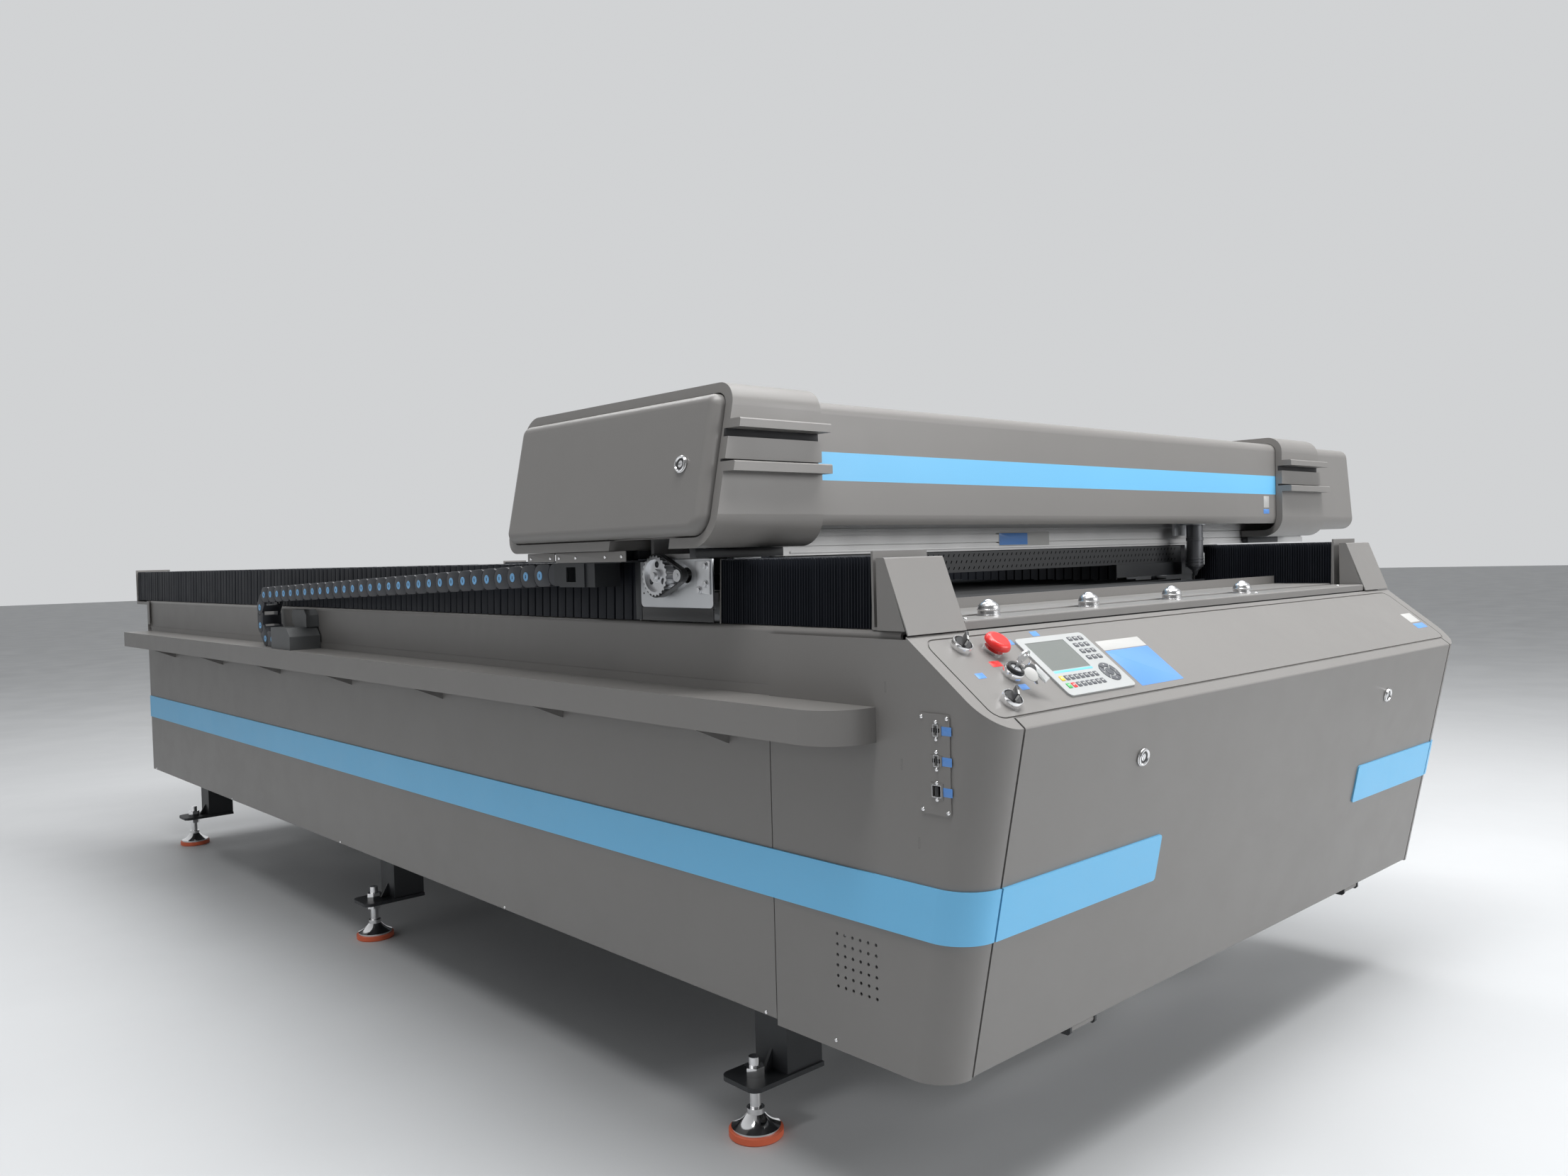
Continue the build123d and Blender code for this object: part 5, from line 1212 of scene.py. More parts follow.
@dataclass(frozen=True)
class ControlDesk:
    """Keys, blank tags and the hanging keys on the sloping desk.

    Args:
        keypad: X and distance up the desk of the keypad's lower left corner.
        thick: Thickness of the keypad.
        commands: The keys under the screen.
        numbers: The keys beside it.
        pad: X and distance up of the round pad's middle from the keypad's corner.
        rise: Height of a key.
        legend: Height of a key's mark above the keypad's face.
        selectors: CAD node, X and distance up the desk of each selector.
        key_switch: X and distance up the desk of the key switch.
        grip_turn: Turn of the selectors' grips in degrees.
    """

    keypad: Flat = (203.0, 38.0)
    thick: float = 3.0
    commands: KeyGrid = KeyGrid((17.3, 18.3), (12.2, 15.0), 8, 2, (9.4, 10.6))
    numbers: KeyGrid = KeyGrid((126.0, 66.5), (14.0, 14.0), 3, 4, (10.6, 9.6))
    pad: Flat = (139.0, 33.0)
    rise: float = 1.1
    legend: float = 1.03
    selectors: tuple[tuple[str, float, float], ...] = (("selector_rear", 84, 158), ("selector_front", 77, 48))
    key_switch: Flat = (132.0, 95.0)
    grip_turn: float = -42.0

    def keys(self) -> list[bpy.types.Object]:
        """Makes the keypad's keys, dark ones and three coloured ones.

        Returns:
            The pieces.
        """
        dark, legends = Piece("keypad_keys_dark", KEYS), Piece("key_legends", PAPER)
        colours = {(0, 0): Piece("key_start", GREEN), (0, 1): Piece("key_stop", RED), (1, 0): Piece("key_menu", AMBER)}
        for grid, special in ((self.commands, colours), (self.numbers, {})):
            for row, column, x, up in grid.spots(self.keypad):
                piece = special.get((row, column), dark)
                piece.raised(oblong(*grid.key, 1.6), on_desk(x, up, self.thick - SUNK), self.rise, 0.45)
                legends.raised(oblong(3.4, 1.1, 0.4, 2), on_desk(x, up + 0.8, self.thick + self.legend), *PRINT)
        self._ring_pad(dark, legends)
        made = [dark.done("base", ("keypad_keys",)), legends.done("base")]
        return made + [piece.done("base") for piece in colours.values()]

    def _ring_pad(self, dark: Piece, legends: Piece) -> None:
        """Adds the round pad: four arrow keys about a middle one.

        Args:
            dark: Piece that takes the keys.
            legends: Piece that takes the arrows.
        """
        centre = on_desk(self.keypad[0] + self.pad[0], self.keypad[1] + self.pad[1], self.thick - SUNK)
        for quarter in range(4):
            turn = 90.0 * quarter - 45.0
            outer = arc((0, 0), 19, turn + 3, turn + 87)
            inner = arc((0, 0), 10, turn + 84, turn + 6)
            dark.raised([*outer, *inner], centre, self.rise, 0.4)
            tip = Matrix.Rotation(math.radians(turn + 45), 4, "Z") @ Matrix.Translation((14.5, 0, 1.08))
            legends.raised([(1.6, 0), (-1.2, 1.6), (-1.2, -1.6)], centre @ tip, *PRINT)
        dark.raised(circle(7.6), centre, self.rise, 0.4)

    def strip(self) -> bpy.types.Object:
        """Makes the blue strip under the screen.

        Returns:
            The piece.
        """
        left, low = self.keypad
        strip = Piece("screen_strip", BLUE)
        strip.raised(oblong(96, 4.0, 0.8), on_desk(left + 62, low + 46.6, self.thick - 0.03), 0.15, TAG_EDGE)
        return strip.done("base")

    def tags(self) -> list[bpy.types.Object]:
        """Makes the blank tags beside the controls and the blank instruction sheet.

        Returns:
            The pieces.
        """
        blue, white, red = Piece("tags_blue", TAG), Piece("tags_white", PAPER), Piece("tag_red", RED)
        for x, up in ((70, 101), (132, 70), (268, 169), (193, 157)):
            blue.label(17, 10, 0.8, on_desk(x, up, TAG_GAP))
        red.label(22, 11, 0.8, on_desk(122, 119, TAG_GAP))
        white.label(122, 22, 1.5, on_desk(449, 127, TAG_GAP))
        blue.label(122, 80, 1.5, on_desk(449, 75.5, TAG_GAP))
        white.label(54, 30, 2.0, on_desk(1563, 92, TAG_GAP))
        blue.label(54, 15, 1.0, on_desk(1563, 66, TAG_GAP))
        return [blue.done("base"), white.done("base"), red.done("base")]

    def hanging_keys(self) -> list[bpy.types.Object]:
        """Makes the ring, the spare key, the blank tag and the clear fob that hang from the key switch.

        Returns:
            The pieces.
        """
        eye = on_desk(*self.key_switch) @ Vector((0.0, 0.0, 37.5))
        middle = eye + Vector((0.0, -1.0, -7.5))
        ring = Piece("key_ring", CHROME)
        ring.sweep([middle + Vector((0.0, y, z)) for z, y in circle(7.6, 28)], 0.8, True, 8)
        foot = middle + Vector((0.4, -2.0, -6.6))
        lie = facing(foot, (0.16, -0.42, -0.89), (-0.70, -0.66, 0.2))
        bow = [*arc((8.0, 0.0), 8.4, 20, 340, 20), (18.6, -3.0), (28.5, -2.4), (30.5, 0.0), (28.5, 1.2), (18.6, 3.0)]
        ring.raised(bow, lie, 1.8, 0.4)
        tag = Piece("key_tag", PAPER)
        flat = facing(foot + Vector((-3.0, -1.0, 0.0)), (0.05, -0.62, -0.78), (-0.45, -0.70, 0.55))
        tag.raised([(1.25 * x + 15.0, 0.95 * y - 3.0) for x, y in circle(9.0, 28)], flat, 0.9, 0.3)
        fob = Piece("key_fob", CLEAR)
        across = facing(foot + Vector((2.0, 0.6, -0.6)), (0.36, -0.56, -0.74), (-0.20, -0.80, 0.56))
        fob.raised([(x + 20, y + 4) for x, y in oblong(34, 19, 4.5)], across, 2.6, 0.8)
        window = across @ Matrix.Translation((0, 0, 2.5))
        fob.raised([(x + 21, y + 4) for x, y in oblong(25, 12, 2.0)], window, 0.9, 0.3)
        return [ring.done("key"), tag.done("key"), fob.done("key")]

    def knobs(self) -> list[bpy.types.Object]:
        """Makes both selector knobs, each with a slim grip and a pale pointer.

        Returns:
            The pieces.
        """
        made = []
        for name, x, up in self.selectors:
            knob, mark = Piece(name + "_knob", PLASTIC), Piece(name + "_pointer", PAPER)
            where = on_desk(x, up)
            knob.lathe([(0, 4.4), (11.8, 4.4), (11.8, 9.4), (11.0, 10.2), (0, 10.2)], where, 40)
            turned = where @ Matrix.Rotation(math.radians(self.grip_turn), 4, "Z")
            knob.raised(oblong(7.0, 25.0, 2.4), turned @ Matrix.Translation((0, -0.5, 10.0)), 12.6, 1.1)
            mark.raised(oblong(3.0, 10.5, 1.2), turned @ Matrix.Translation((0, -6.4, 22.55)), 0.35, 0.12)
            front = turned @ facing((0.0, -12.95, 17.2), (1, 0, 0), (0, -1, 0))
            mark.raised(oblong(3.0, 8.6, 1.2), front, 0.3, 0.1)
            made += [knob.done(name, (name,)), mark.done(name)]
        return made

    def rings(self) -> list[bpy.types.Object]:
        """Makes the tall chrome rings round the switches and the key switch's black collar.

        Returns:
            The pieces.
        """
        rings, collar = Piece("switch_rings", CHROME), Piece("key_collar", PLASTIC)
        wall = [(15.4, 0.0), (15.4, 9.2), (14.9, 10.0), (13.9, 10.0), (13.5, 9.4), (13.5, 0.0), (15.4, 0.0)]
        for x, up in [*((x, up) for _, x, up in self.selectors), self.key_switch]:
            rings.lathe(wall, on_desk(x, up, TAG_GAP), 48)
        band = [(8.6, 4.2), (13.2, 4.2), (13.2, 13.6), (12.4, 14.6), (9.4, 14.6), (8.6, 13.8), (8.6, 4.2)]
        collar.lathe(band, on_desk(*self.key_switch), 40)
        return [rings.done("base"), collar.done("base")]

    def build(self) -> list[bpy.types.Object]:
        """Makes everything on the desk and gives the pieces."""
        switches = [*self.knobs(), *self.rings(), *self.hanging_keys()]
        return [*self.keys(), self.strip(), *self.tags(), *switches]


# Socket plate


@dataclass(frozen=True)
class SocketPlate:
    """Rims, contacts and blank tags of the three sockets on the left corner, and the knockouts about them.

    Args:
        y: Middle of the sockets.
        heights: Z of the sockets from the top.
        holes: Width and height of each socket's opening.
        face: X of the plate's outer face.
        knockouts: Y and Z of the knockouts.
    """

    y: float = 98.5
    heights: tuple[float, float, float] = (731.0, 691.0, 651.0)
    holes: tuple[Flat, Flat, Flat] = ((6.2, 13.4), (6.2, 13.4), (13.0, 14.0))
    face: float = -2.0
    knockouts: tuple[Flat, Flat, Flat] = ((188.0, 782.0), (161.0, 679.0), (133.0, 577.0))

    def build(self) -> list[bpy.types.Object]:
        """Makes the pieces.

        Returns:
            The pieces.
        """
        rims, tags = Piece("socket_rims", ZINC), Piece("socket_tags", TAG)
        tongues = Piece("socket_contacts", PLASTIC)
        for z, (wide, tall) in zip(self.heights, self.holes):
            where = on_left(self.y, z, self.face - 1.0 - TAG_GAP)
            rims.rim(oblong(wide + 2.6, tall + 2.6, 1.0), oblong(wide, tall, 0.6), where, 0.5)
            tongues.raised(oblong(wide * 0.36, tall * 0.8, 0.4), on_left(self.y, z, self.face), 1.2, 0.2)
            tags.label(17.0, 11.0, 0.6, on_left(self.y - 17.0, z, self.face - TAG_GAP))
        return [rims.done("base"), tags.done("base"), tongues.done("base"), *self.plugs()]

    def plugs(self) -> list[bpy.types.Object]:
        """Makes the upright knockouts above, beside and below the plate, held by their punched lines.

        Returns:
            The pieces.
        """
        plugs, lines = Piece("knockout_plugs", GREY), Piece("knockout_lines", PLASTIC)
        for y, z in self.knockouts:
            plugs.prism(rectangle(19.96, 4.96), on_left(y, z, 2.0), 2.01)
            lines.rim(oblong(9.8, 21.8, 4.6), oblong(8.0, 20.0, 3.8), on_left(y, z), 0.09)
        return [plugs.done("base"), lines.done("base")]


# Locks


@dataclass(frozen=True)
class LockFaces:
    """The raised rings in the four quarter-turn locks' heads, and dark inlays in the wells inside them: painted shade
    of the wells.

    Args:
        radius: Radius of the ring.
        door: Distance of the door's locks from the machine's sides, and their height.
        pans: CAD body, X of the pan's end and way that it faces, of each end pan's lock.
        pan_foot: Z of the pans' lower edge.
        pan_rise: Height of the pans' locks above that edge.
    """

    radius: float = 13.2
    door: Flat = (363.0, 656.0)
    pans: tuple[tuple[str, float, int], ...] = (("pan_lock_left", -45.0, -1), ("pan_lock_right", 2263.0, 1))
    pan_foot: float = 979.0
    pan_rise: float = 0.51 * 253.0

    def places(self) -> dict[str, Matrix]:
        """Gives the frames of the locks, Z out of the panel.

        Returns:
            CAD body to frame.
        """
        aside, up = self.door
        found = {"door_lock_left": on_door(aside, up), "door_lock_right": on_door(BODY_WIDTH - aside, up)}
        height = self.pan_foot + self.pan_rise
        for body, end, side in self.pans:
            x = end + side * (20.0 + END_TILT * (GANTRY_MIDDLE - height))
            out = Vector((side, 0.0, END_TILT))
            found[body] = facing((x, GANTRY_FRONT + 79.0, height), (0, side, 0), out)
        return found

    def build(self) -> list[bpy.types.Object]:
        """Makes a ring and a dark inlay of painted well shade for each lock.

        Returns:
            The pieces.
        """
        made = []
        r = self.radius
        for body, where in self.places().items():
            ring = Piece(body + "_ring", CHROME)
            ring.lathe([(r, 2.9), (r, 4.2), (r - 1.0, 5.2), (r - 2.4, 5.2), (r - 4.0, 3.6), (r - 4.0, 2.9)], where, 40)
            # Dark disc at the floor of the well: painted shade
            well_shade = Piece(body + "_well", PLASTIC)
            well_shade.lathe([(r - 4.1, 3.02), (r - 4.1, 3.3), (5.6, 3.3), (5.6, 3.02)], where, 32)
            made += [ring.done(body), well_shade.done(body)]
        return made


# Gantry trim


@dataclass(frozen=True)
class GantryTrim:
    """Seals, blank tags, ribs, brackets and brushes of the gantry.

    Args:
        grooves: Lower and upper edge of each groove in the collars.
        left: X of the left collar's outer end at the height of GANTRY_MIDDLE.
        right: X of the right collar's outer end at that height.
        plates_top: Z of the upper edge of the plates under the left collar.
        slit_shade_heights: Z range of the dark blocks under the covers, painted shade of the slits.
    """

    grooves: tuple[Flat, Flat] = ((1146.4, 1158.2), (1108.4, 1111.7))
    left: float = -45.0
    right: float = 2037.0
    plates_top: float = 978.4
    slit_shade_heights: Flat = (963.4, 978.6)

    def groove_shade(self) -> bpy.types.Object:
        """Makes dark strips in the grooves of both collars: painted shade that darkens the grooves.

        Returns:
            The piece.
        """
        # Black strips laid in the grooves: painted shade
        piece = Piece("collar_seals", RUBBER)
        inner_left, inner_right, gap = 159.4, 1805.6, 0.8
        for low, high in self.grooves:
            z = (low + high) / 2
            lean = END_TILT * (GANTRY_MIDDLE - z)
            for left, right in ((self.left - lean + gap, inner_left), (inner_right, self.right + lean - gap)):
                where = on_front((left + right) / 2, z, GANTRY_FRONT + 10.6)
                piece.raised(oblong(right - left, high - low, 0.6, 2), where, 3.2, 0.5)
        return piece.done("gantry")

    def tags(self) -> list[bpy.types.Object]:
        """Makes the blank tags on the beam and at the cover's right end.

        Returns:
            The pieces.
        """
        blue, white = Piece("gantry_tags_blue", TAG), Piece("gantry_tags_white", PAPER)
        beam, cover = BEAM_FRONT - 0.05, GANTRY_FRONT + COVER_BACK - 0.05
        white.raised(oblong(176, 30, 1.5), on_front(858, 985, beam), 0.3, TAG_EDGE)
        blue.raised(oblong(96, 24, 1.0), on_front(820, 985, beam - 0.3), 0.12, 0.03)
        white.raised(oblong(30, 30, 1.5), on_front(1752, 1066, cover), 0.25, TAG_EDGE)
        blue.raised(oblong(30, 11, 0.8), on_front(1752, 1042, cover), 0.25, TAG_EDGE)
        return [blue.done("gantry"), white.done("gantry")]

    def ribs(self) -> bpy.types.Object:
        """Makes the two low ribs of the aluminium beam's front face.

        Returns:
            The piece.
        """
        piece = Piece("beam_ribs", BEAM)
        for z, tall in ((968.5, 4.0), (1006.5, 5.0)):
            piece.raised(oblong(1366, tall, 0.8, 2), on_front(872, z, BEAM_FRONT), 1.2, 0.5)
        return piece.done("gantry")

    def under_plates(self) -> list[bpy.types.Object]:
        """Makes the plates below the left collar, the motor's bracket, and painted shade on the carriage: a dark strip
        under its plate, dark inlays in a slot and a hole.

        Returns:
            The pieces.
        """
        plate = Piece("gantry_under_plates", GREY)
        top = self.plates_top
        for near, far, low in ((700.5, 914.5, 960.4), (919.0, 1010.0, 962.6)):
            where = on_left((near + far) / 2, (top + low) / 2, -60.3)
            plate.raised(oblong(far - near, top - low, 1.2), where, 1.8, 0.6)
        arm = [(-60.0, 919.0), (-6.0, 919.0), (-6.0, 1010.0), (-60.0, 1010.0)]
        plate.prism(arm, Matrix.Translation((0, 0, top - 3.0)), 3.0)
        bracket = Piece("motor_bracket", ZINC)
        bracket.raised(rounded(rectangle(36, 54), (5, 1, 1, 1)), on_left(576, 932, -0.3), 2.2, 0.5)
        carriage_shade = Piece("carriage_slots", PLASTIC)
        # Dark strip under the carriage plate: painted shade over the saddle and guides; the two small dark inlays are
        # painted shade of a slot and a hole
        carriage_shade.block((0.6, 554.0, 860.6), (2.2, 745.0, 882.6), 0.3)
        carriage_shade.raised(oblong(7, 2.6, 1.2), on_left(734, 951, -TAG_GAP), 0.12, 0.03)
        carriage_shade.raised(circle(1.8, 12), on_left(738, 906, -TAG_GAP), 0.12, 0.03)
        return [plate.done("gantry"), bracket.done("gantry"), carriage_shade.done("gantry")]

    def slit_shade(self) -> bpy.types.Object:
        """Makes the black blocks that close the slits between the covers and the bellows and behind the carriage
        plate: painted shade where the slits would show the dark inside.

        Returns:
            The piece.
        """
        # Dark blocks in the slits: painted shade
        piece = Piece("gantry_baffles", BLACK)
        low, high = self.slit_shade_heights
        for left, right in ((-30.0, 157.0), (1808.0, 1980.0)):
            piece.block((left, 556.0, low), (right, 572.0, high), 1.0)
            piece.block((max(left, -15.0), 729.0, low), (right, 744.0, high), 1.0)
        piece.block((0.6, 746.4, 861.0), (2.4, 763.0, 961.5), 0.4)
        return piece.done("gantry")

    def build(self) -> list[bpy.types.Object]:
        """Makes the trim and gives the pieces."""
        return [self.groove_shade(), *self.tags(), self.ribs(), self.slit_shade(), *self.under_plates()]


# Beam guard


@dataclass(frozen=True)
class BeamGuard:
    """The perforated sheet below the beam's front edge, with staggered slanted slots.

    Args:
        left: X of its left end.
        right: X of its right end.
        low: Z of the middle of the lowest row.
        rows: Number of rows.
        pitch: Distance between slots and between rows.
        slot: Width and height of a slot.
        slant: Turn of a slot in degrees.
    """

    left: float = 180.0
    right: float = 1500.0
    low: float = 929.2
    rows: int = 3
    pitch: Flat = (15.6, 12.6)
    slot: Flat = (5.2, 9.6)
    slant: float = -34.0

    def build(self) -> list[bpy.types.Object]:
        """Makes the slots as shallow dark inlays in the sheet's face: painted shade of the open slots.

        Returns:
            The piece.
        """
        piece = Piece("guard_slots", HOLE_SHADE)
        turn = Matrix.Rotation(math.radians(self.slant), 4, "Z")
        flat = [tuple((turn @ Vector((x, y, 0)))[:2]) for x, y in oblong(*self.slot, 2.4, 3)]
        across, up = self.pitch
        face = BEAM_FRONT + 2.0 - TAG_GAP
        for row in range(self.rows):
            start = self.left + 12 + (0.5 * across if row % 2 else 0.0)
            for k in range(int((self.right - start - 8) // across)):
                piece.raised(flat, on_front(start + k * across, self.low + row * up, face), 0.12, 0.03)
        return [piece.done("gantry")]


# Cutting head


@dataclass(frozen=True)
class HeadHose:
    """The air hose, its elbow and the rings on the sliding lens tube.

    Args:
        x: Middle of the tube.
        y: Middle of the tube.
        aside: Distance of the hose to the right of it.
    """

    x: float = HEAD_X
    y: float = 518.0
    aside: float = 32.0

    def build(self) -> list[bpy.types.Object]:
        """Makes the pieces that ride on the lens tube.

        Returns:
            The pieces.
        """
        hose = Piece("air_hose", PLASTIC)
        side = self.x + self.aside
        path = [(side, self.y, 942.0), (side, self.y, 960.0), (side + 0.6, self.y - 0.6, 985.0)]
        path += [(side + 0.8, self.y - 0.8, 1010.0), (side + 0.4, self.y, 1036.0), (side - 1.0, self.y + 1.0, 1056.0)]
        hose.sweep(path, 3.0)
        elbow = Piece("air_elbow", PANEL)
        upright = Matrix.Translation((side, self.y, 915.5))
        elbow.lathe([(0, -1), (6.6, -1), (6.9, 0), (6.9, 25), (5.8, 27), (0, 27)], upright, 28)
        level = facing((self.x + 19.6, self.y, 920.0), (0, 1, 0), (1, 0, 0))
        elbow.lathe([(0, 0), (6.0, 0), (6.0, 4), (5.6, 4.6), (5.6, 14), (0, 14)], level, 28)
        rings = Piece("lens_rings", LENS)
        for z, tall in ((914.0, 3.0), (921.0, 3.0), (928.0, 3.0), (972.0, 8.0)):
            where = Matrix.Translation((self.x, self.y, z))
            rings.lathe([(18.9, 0), (20.2, 0.4), (20.2, tall - 0.4), (18.9, tall)], where, 40)
        return [hose.done("lens"), elbow.done("lens"), rings.done("lens")]


# Deck


@dataclass(frozen=True)
class BallDeck:
    """Pressed housings of the ball transfers, the raised ledge behind them and a dark strip that paints the ledge's
    shadow.

    Args:
        first: X of the first ball.
        pitch: Distance between balls.
        row: Y of the row.
        height: Height of the balls' centres.
        count: Number of balls.
        ledge: Width and depth of the ledge.
    """

    first: float = 245.0
    pitch: float = 268.0
    row: float = 199.0
    height: float = 881.0
    count: int = 4
    ledge: Flat = (1372.0, 128.0)

    def build(self) -> list[bpy.types.Object]:
        """Makes the pieces.

        Returns:
            The pieces.
        """
        shell = Piece("ball_housings", PRESSED)
        profile = [
            (18.2, -14.98), (18.2, -13.8), (17.0, -13.2), (16.8, -8.0), (17.3, -7.2), (17.3, -5.6), (16.7, -4.8),
            (16.2, -1.5), (14.6, 1.6), (12.0, 3.9), (9.8, 5.3), (8.9, 5.6), (9.4, 4.4), (10.6, 1.0), (10.6, -14.98),
            (18.2, -14.98),
        ]
        for i in range(self.count):
            shell.lathe(profile, Matrix.Translation((self.first + self.pitch * i, self.row, self.height)), 48)
        ledge, gap = Piece("deck_ledge", GREY), Piece("deck_ledge_gap", PLASTIC)
        middle, top = BODY_WIDTH / 2, DECK_TOP + TAG_GAP
        ledge.raised(oblong(*self.ledge, 1.0), Matrix.Translation((middle, 283.0, top)), 2.4, 0.8)
        # Dark strip along the ledge's front edge: painted shadow of the raised ledge
        gap.label(self.ledge[0], 1.8, 0.4, Matrix.Translation((middle, 218.0, top)))
        return [shell.done("base", ("ball_cups",)), ledge.done("base"), gap.done("base")]


# Electrical cabinet


@dataclass(frozen=True)
class CabinetFittings:
    """Fins, terminals, vents, cable duct and wires on the units behind the door.

    Args:
        plate: Y of the mounting plate's face.
        drivers: X of the left side of each driver.
        terminal: Distance between terminals.
        duct: X of the duct's left end.
    """

    plate: float = 536.0
    drivers: tuple[float, float] = (880.0, 1020.0)
    terminal: float = 5.2
    duct: float = 299.0

    def fins(self) -> bpy.types.Object:
        """Makes the drivers' cooling fins by Geometry Nodes.

        Returns:
            The piece.
        """
        fin = Piece("fin", SINK)
        fin.block((-0.9, -15.0, 0.0), (0.9, 0.0, 150.0), 0.4)
        y, z = self.plate - 99.9, 452.0
        spots = [Matrix.Translation((x + 9.0 + 7.1 * k, y, z)) for x in self.drivers for k in range(14)]
        return Repeater("driver_fins", fin).at(spots, "base")

    def terminals(self) -> bpy.types.Object:
        """Makes the rows of screw terminals by Geometry Nodes.

        Returns:
            The piece.
        """
        unit = Piece("terminal", GREEN)
        unit.block((-2.3, -9.0, 0.0), (2.3, 0.0, 10.0), 0.5)
        unit.raised(circle(1.5, 8), on_front(0, 6.0, -9.0), 0.5, 0.1)
        # X of the first, number, Y and Z of each row: the controller's two, the power supply's, the drivers'
        rows = [(704.0, 24, 446.0, 428.0), (704.0, 24, 446.0, 620.0), (330.0, 9, 396.0, 430.0)]
        rows += [(x + 12.0, 16, 436.0, 428.0) for x in self.drivers]
        spots = [
            Matrix.Translation((x + self.terminal * k, y + SUNK, z)) for x, count, y, z in rows for k in range(count)
        ]
        return Repeater("terminal_rows", unit).at(spots, "base")

    def vents(self) -> bpy.types.Object:
        """Makes the power supply's vent slots by Geometry Nodes, as dark inlays: painted shade of the open slots.

        Returns:
            The piece.
        """
        slot = Piece("vent_slot", PLASTIC)
        slot.raised(oblong(3.2, 38.0, 1.6), on_front(0, 0, 0), 0.25, 0.08)
        rows = (482.0, 530.0, 578.0)
        spots = [Matrix.Translation((470.0 + 7.0 * k, 396.02, z)) for k in range(19) for z in rows]
        return Repeater("supply_vents", slot).at(spots, "base")

    def cable_duct(self) -> list[bpy.types.Object]:
        """Makes the slotted cable duct below the units: its fingers, its floor and its lid.

        Returns:
            The pieces.
        """
        finger = Piece("finger", PANEL)
        finger.block((-2.6, -38.0, 0.0), (2.6, -36.2, 34.0), 0.3)
        low, high, right, back = 358.0, 400.0, self.duct + 838.0, self.plate - 0.1
        spots = [Matrix.Translation((self.duct + 5.0 + 9.0 * k, self.plate, low + 4.0)) for k in range(93)]
        lid = Piece("duct_lid", PANEL)
        lid.block((self.duct, 497.0, low), (right, back, low + 4.0), 0.6)
        lid.block((self.duct, 496.5, high - 4.0), (right, back, high), 0.6)
        return [Repeater("duct_fingers", finger).at(spots, "base"), lid.done("base")]

    def wires(self) -> list[bpy.types.Object]:
        """Makes the wires that run from the duct to the terminals.

        Returns:
            The pieces.
        """
        black, red = Piece("wires_black", PLASTIC), Piece("wires_red", RED)
        random.seed(5)
        step = 2 * self.terminal
        starts = [(704.0 + step * k, 441.0, 430.0) for k in range(12)]
        starts += [(x + 17.0 + step * k, 431.0, 430.0) for x in self.drivers for k in range(8)]
        starts += [(335.0 + step * k, 391.0, 432.0) for k in range(4)]
        for i, (x, y, z) in enumerate(starts):
            sway = random.uniform(-4.0, 4.0)
            path = [(x, y, z), (x, y - 5.0, z - 4.0), (x + sway, y - 3.0, z - 14.0)]
            path += [(x + sway, 0.5 * (y + 510.0), z - 24.0), (x + sway, 512.0, 401.0), (x + sway, 516.0, 394.0)]
            (red if i % 5 == 2 else black).sweep(smooth_path(path), 1.3, steps=7)
        return [black.done("base"), red.done("base")]

    def cover(self) -> bpy.types.Object:
        """Makes the dark cover of the controller.

        Returns:
            The piece.
        """
        piece = Piece("controller_cover", PLASTIC)
        piece.raised(oblong(126.0, 168.0, 3.0), on_front(765.0, 528.0, 446.02), 3.0, 1.0)
        return piece.done("base")

    def build(self) -> list[bpy.types.Object]:
        """Makes the fittings and gives the pieces."""
        return [self.fins(), self.terminals(), self.vents(), self.cover(), *self.cable_duct(), *self.wires()]


# Rear


@dataclass(frozen=True)
class RearFittings:
    """Hose clamps on the exhaust spigots, a blank plate and a cable gland on the back sheet.

    Args:
        sheet: Y of the back sheet's outer face.
        spigots: X of the spigots.
        height: Height of the spigots.
        middle: X of the blank plate and of the gland.
        plate: Height of the blank plate.
    """

    sheet: float = 3739.0
    spigots: tuple[float, float] = (470.0, BODY_WIDTH - 470.0)
    height: float = 520.0
    middle: float = BODY_WIDTH / 2
    plate: float = 590.0

    def face(self, x: float, z: float, lift: float = 0.0) -> Matrix:
        """Gives a frame on the back sheet: X to the machine's left, Y up, Z to the rear."""
        return facing((x, self.sheet + lift, z), (-1, 0, 0), (0, 1, 0))

    def build(self) -> list[bpy.types.Object]:
        """Makes the fittings.

        Returns:
            The pieces.
        """
        clamps = Piece("spigot_clamps", ZINC)
        for x in self.spigots:
            where = self.face(x, self.height, 40.0)
            clamps.lathe([(76.6, 0), (78.2, 0), (78.2, 9), (76.6, 9), (76.6, 0)], where, 64)
            clamps.lathe([(78.1, 2.2), (78.9, 3.2), (78.9, 5.8), (78.1, 6.8), (78.1, 2.2)], where, 64)
            foot, head = self.height + 77.8, self.height + 88.0
            clamps.block((x - 12.0, self.sheet + 38.0, foot), (x + 12.0, self.sheet + 51.0, head), 1.5)
            screw = facing((x + 12.0, self.sheet + 44.5, self.height + 84.0), (0, 1, 0), (1, 0, 0))
            clamps.lathe([(0, 0), (4.6, 0), (4.6, 5.0), (4.0, 5.8), (0, 5.8)], screw, 6)
        plate = Piece("blank_plate", ALLOY)
        plate.raised(oblong(130, 78, 4), self.face(self.middle, self.plate, TAG_GAP), 0.9, 0.3)
        gland = Piece("cable_gland", PLASTIC)
        gland.raised(circle(19.0, 6), self.face(self.middle, 400, TAG_GAP), 7.0, 1.0)
        barrel = [(15.0, 6.8), (15.0, 16.0), (13.0, 24.0), (10.5, 28.0), (6.5, 29.0), (6.0, 20.0), (0.0, 20.0)]
        gland.lathe(barrel, self.face(self.middle, 400), 32)
        return [clamps.done("base"), plate.done("base"), gland.done("base")]


# Fasteners


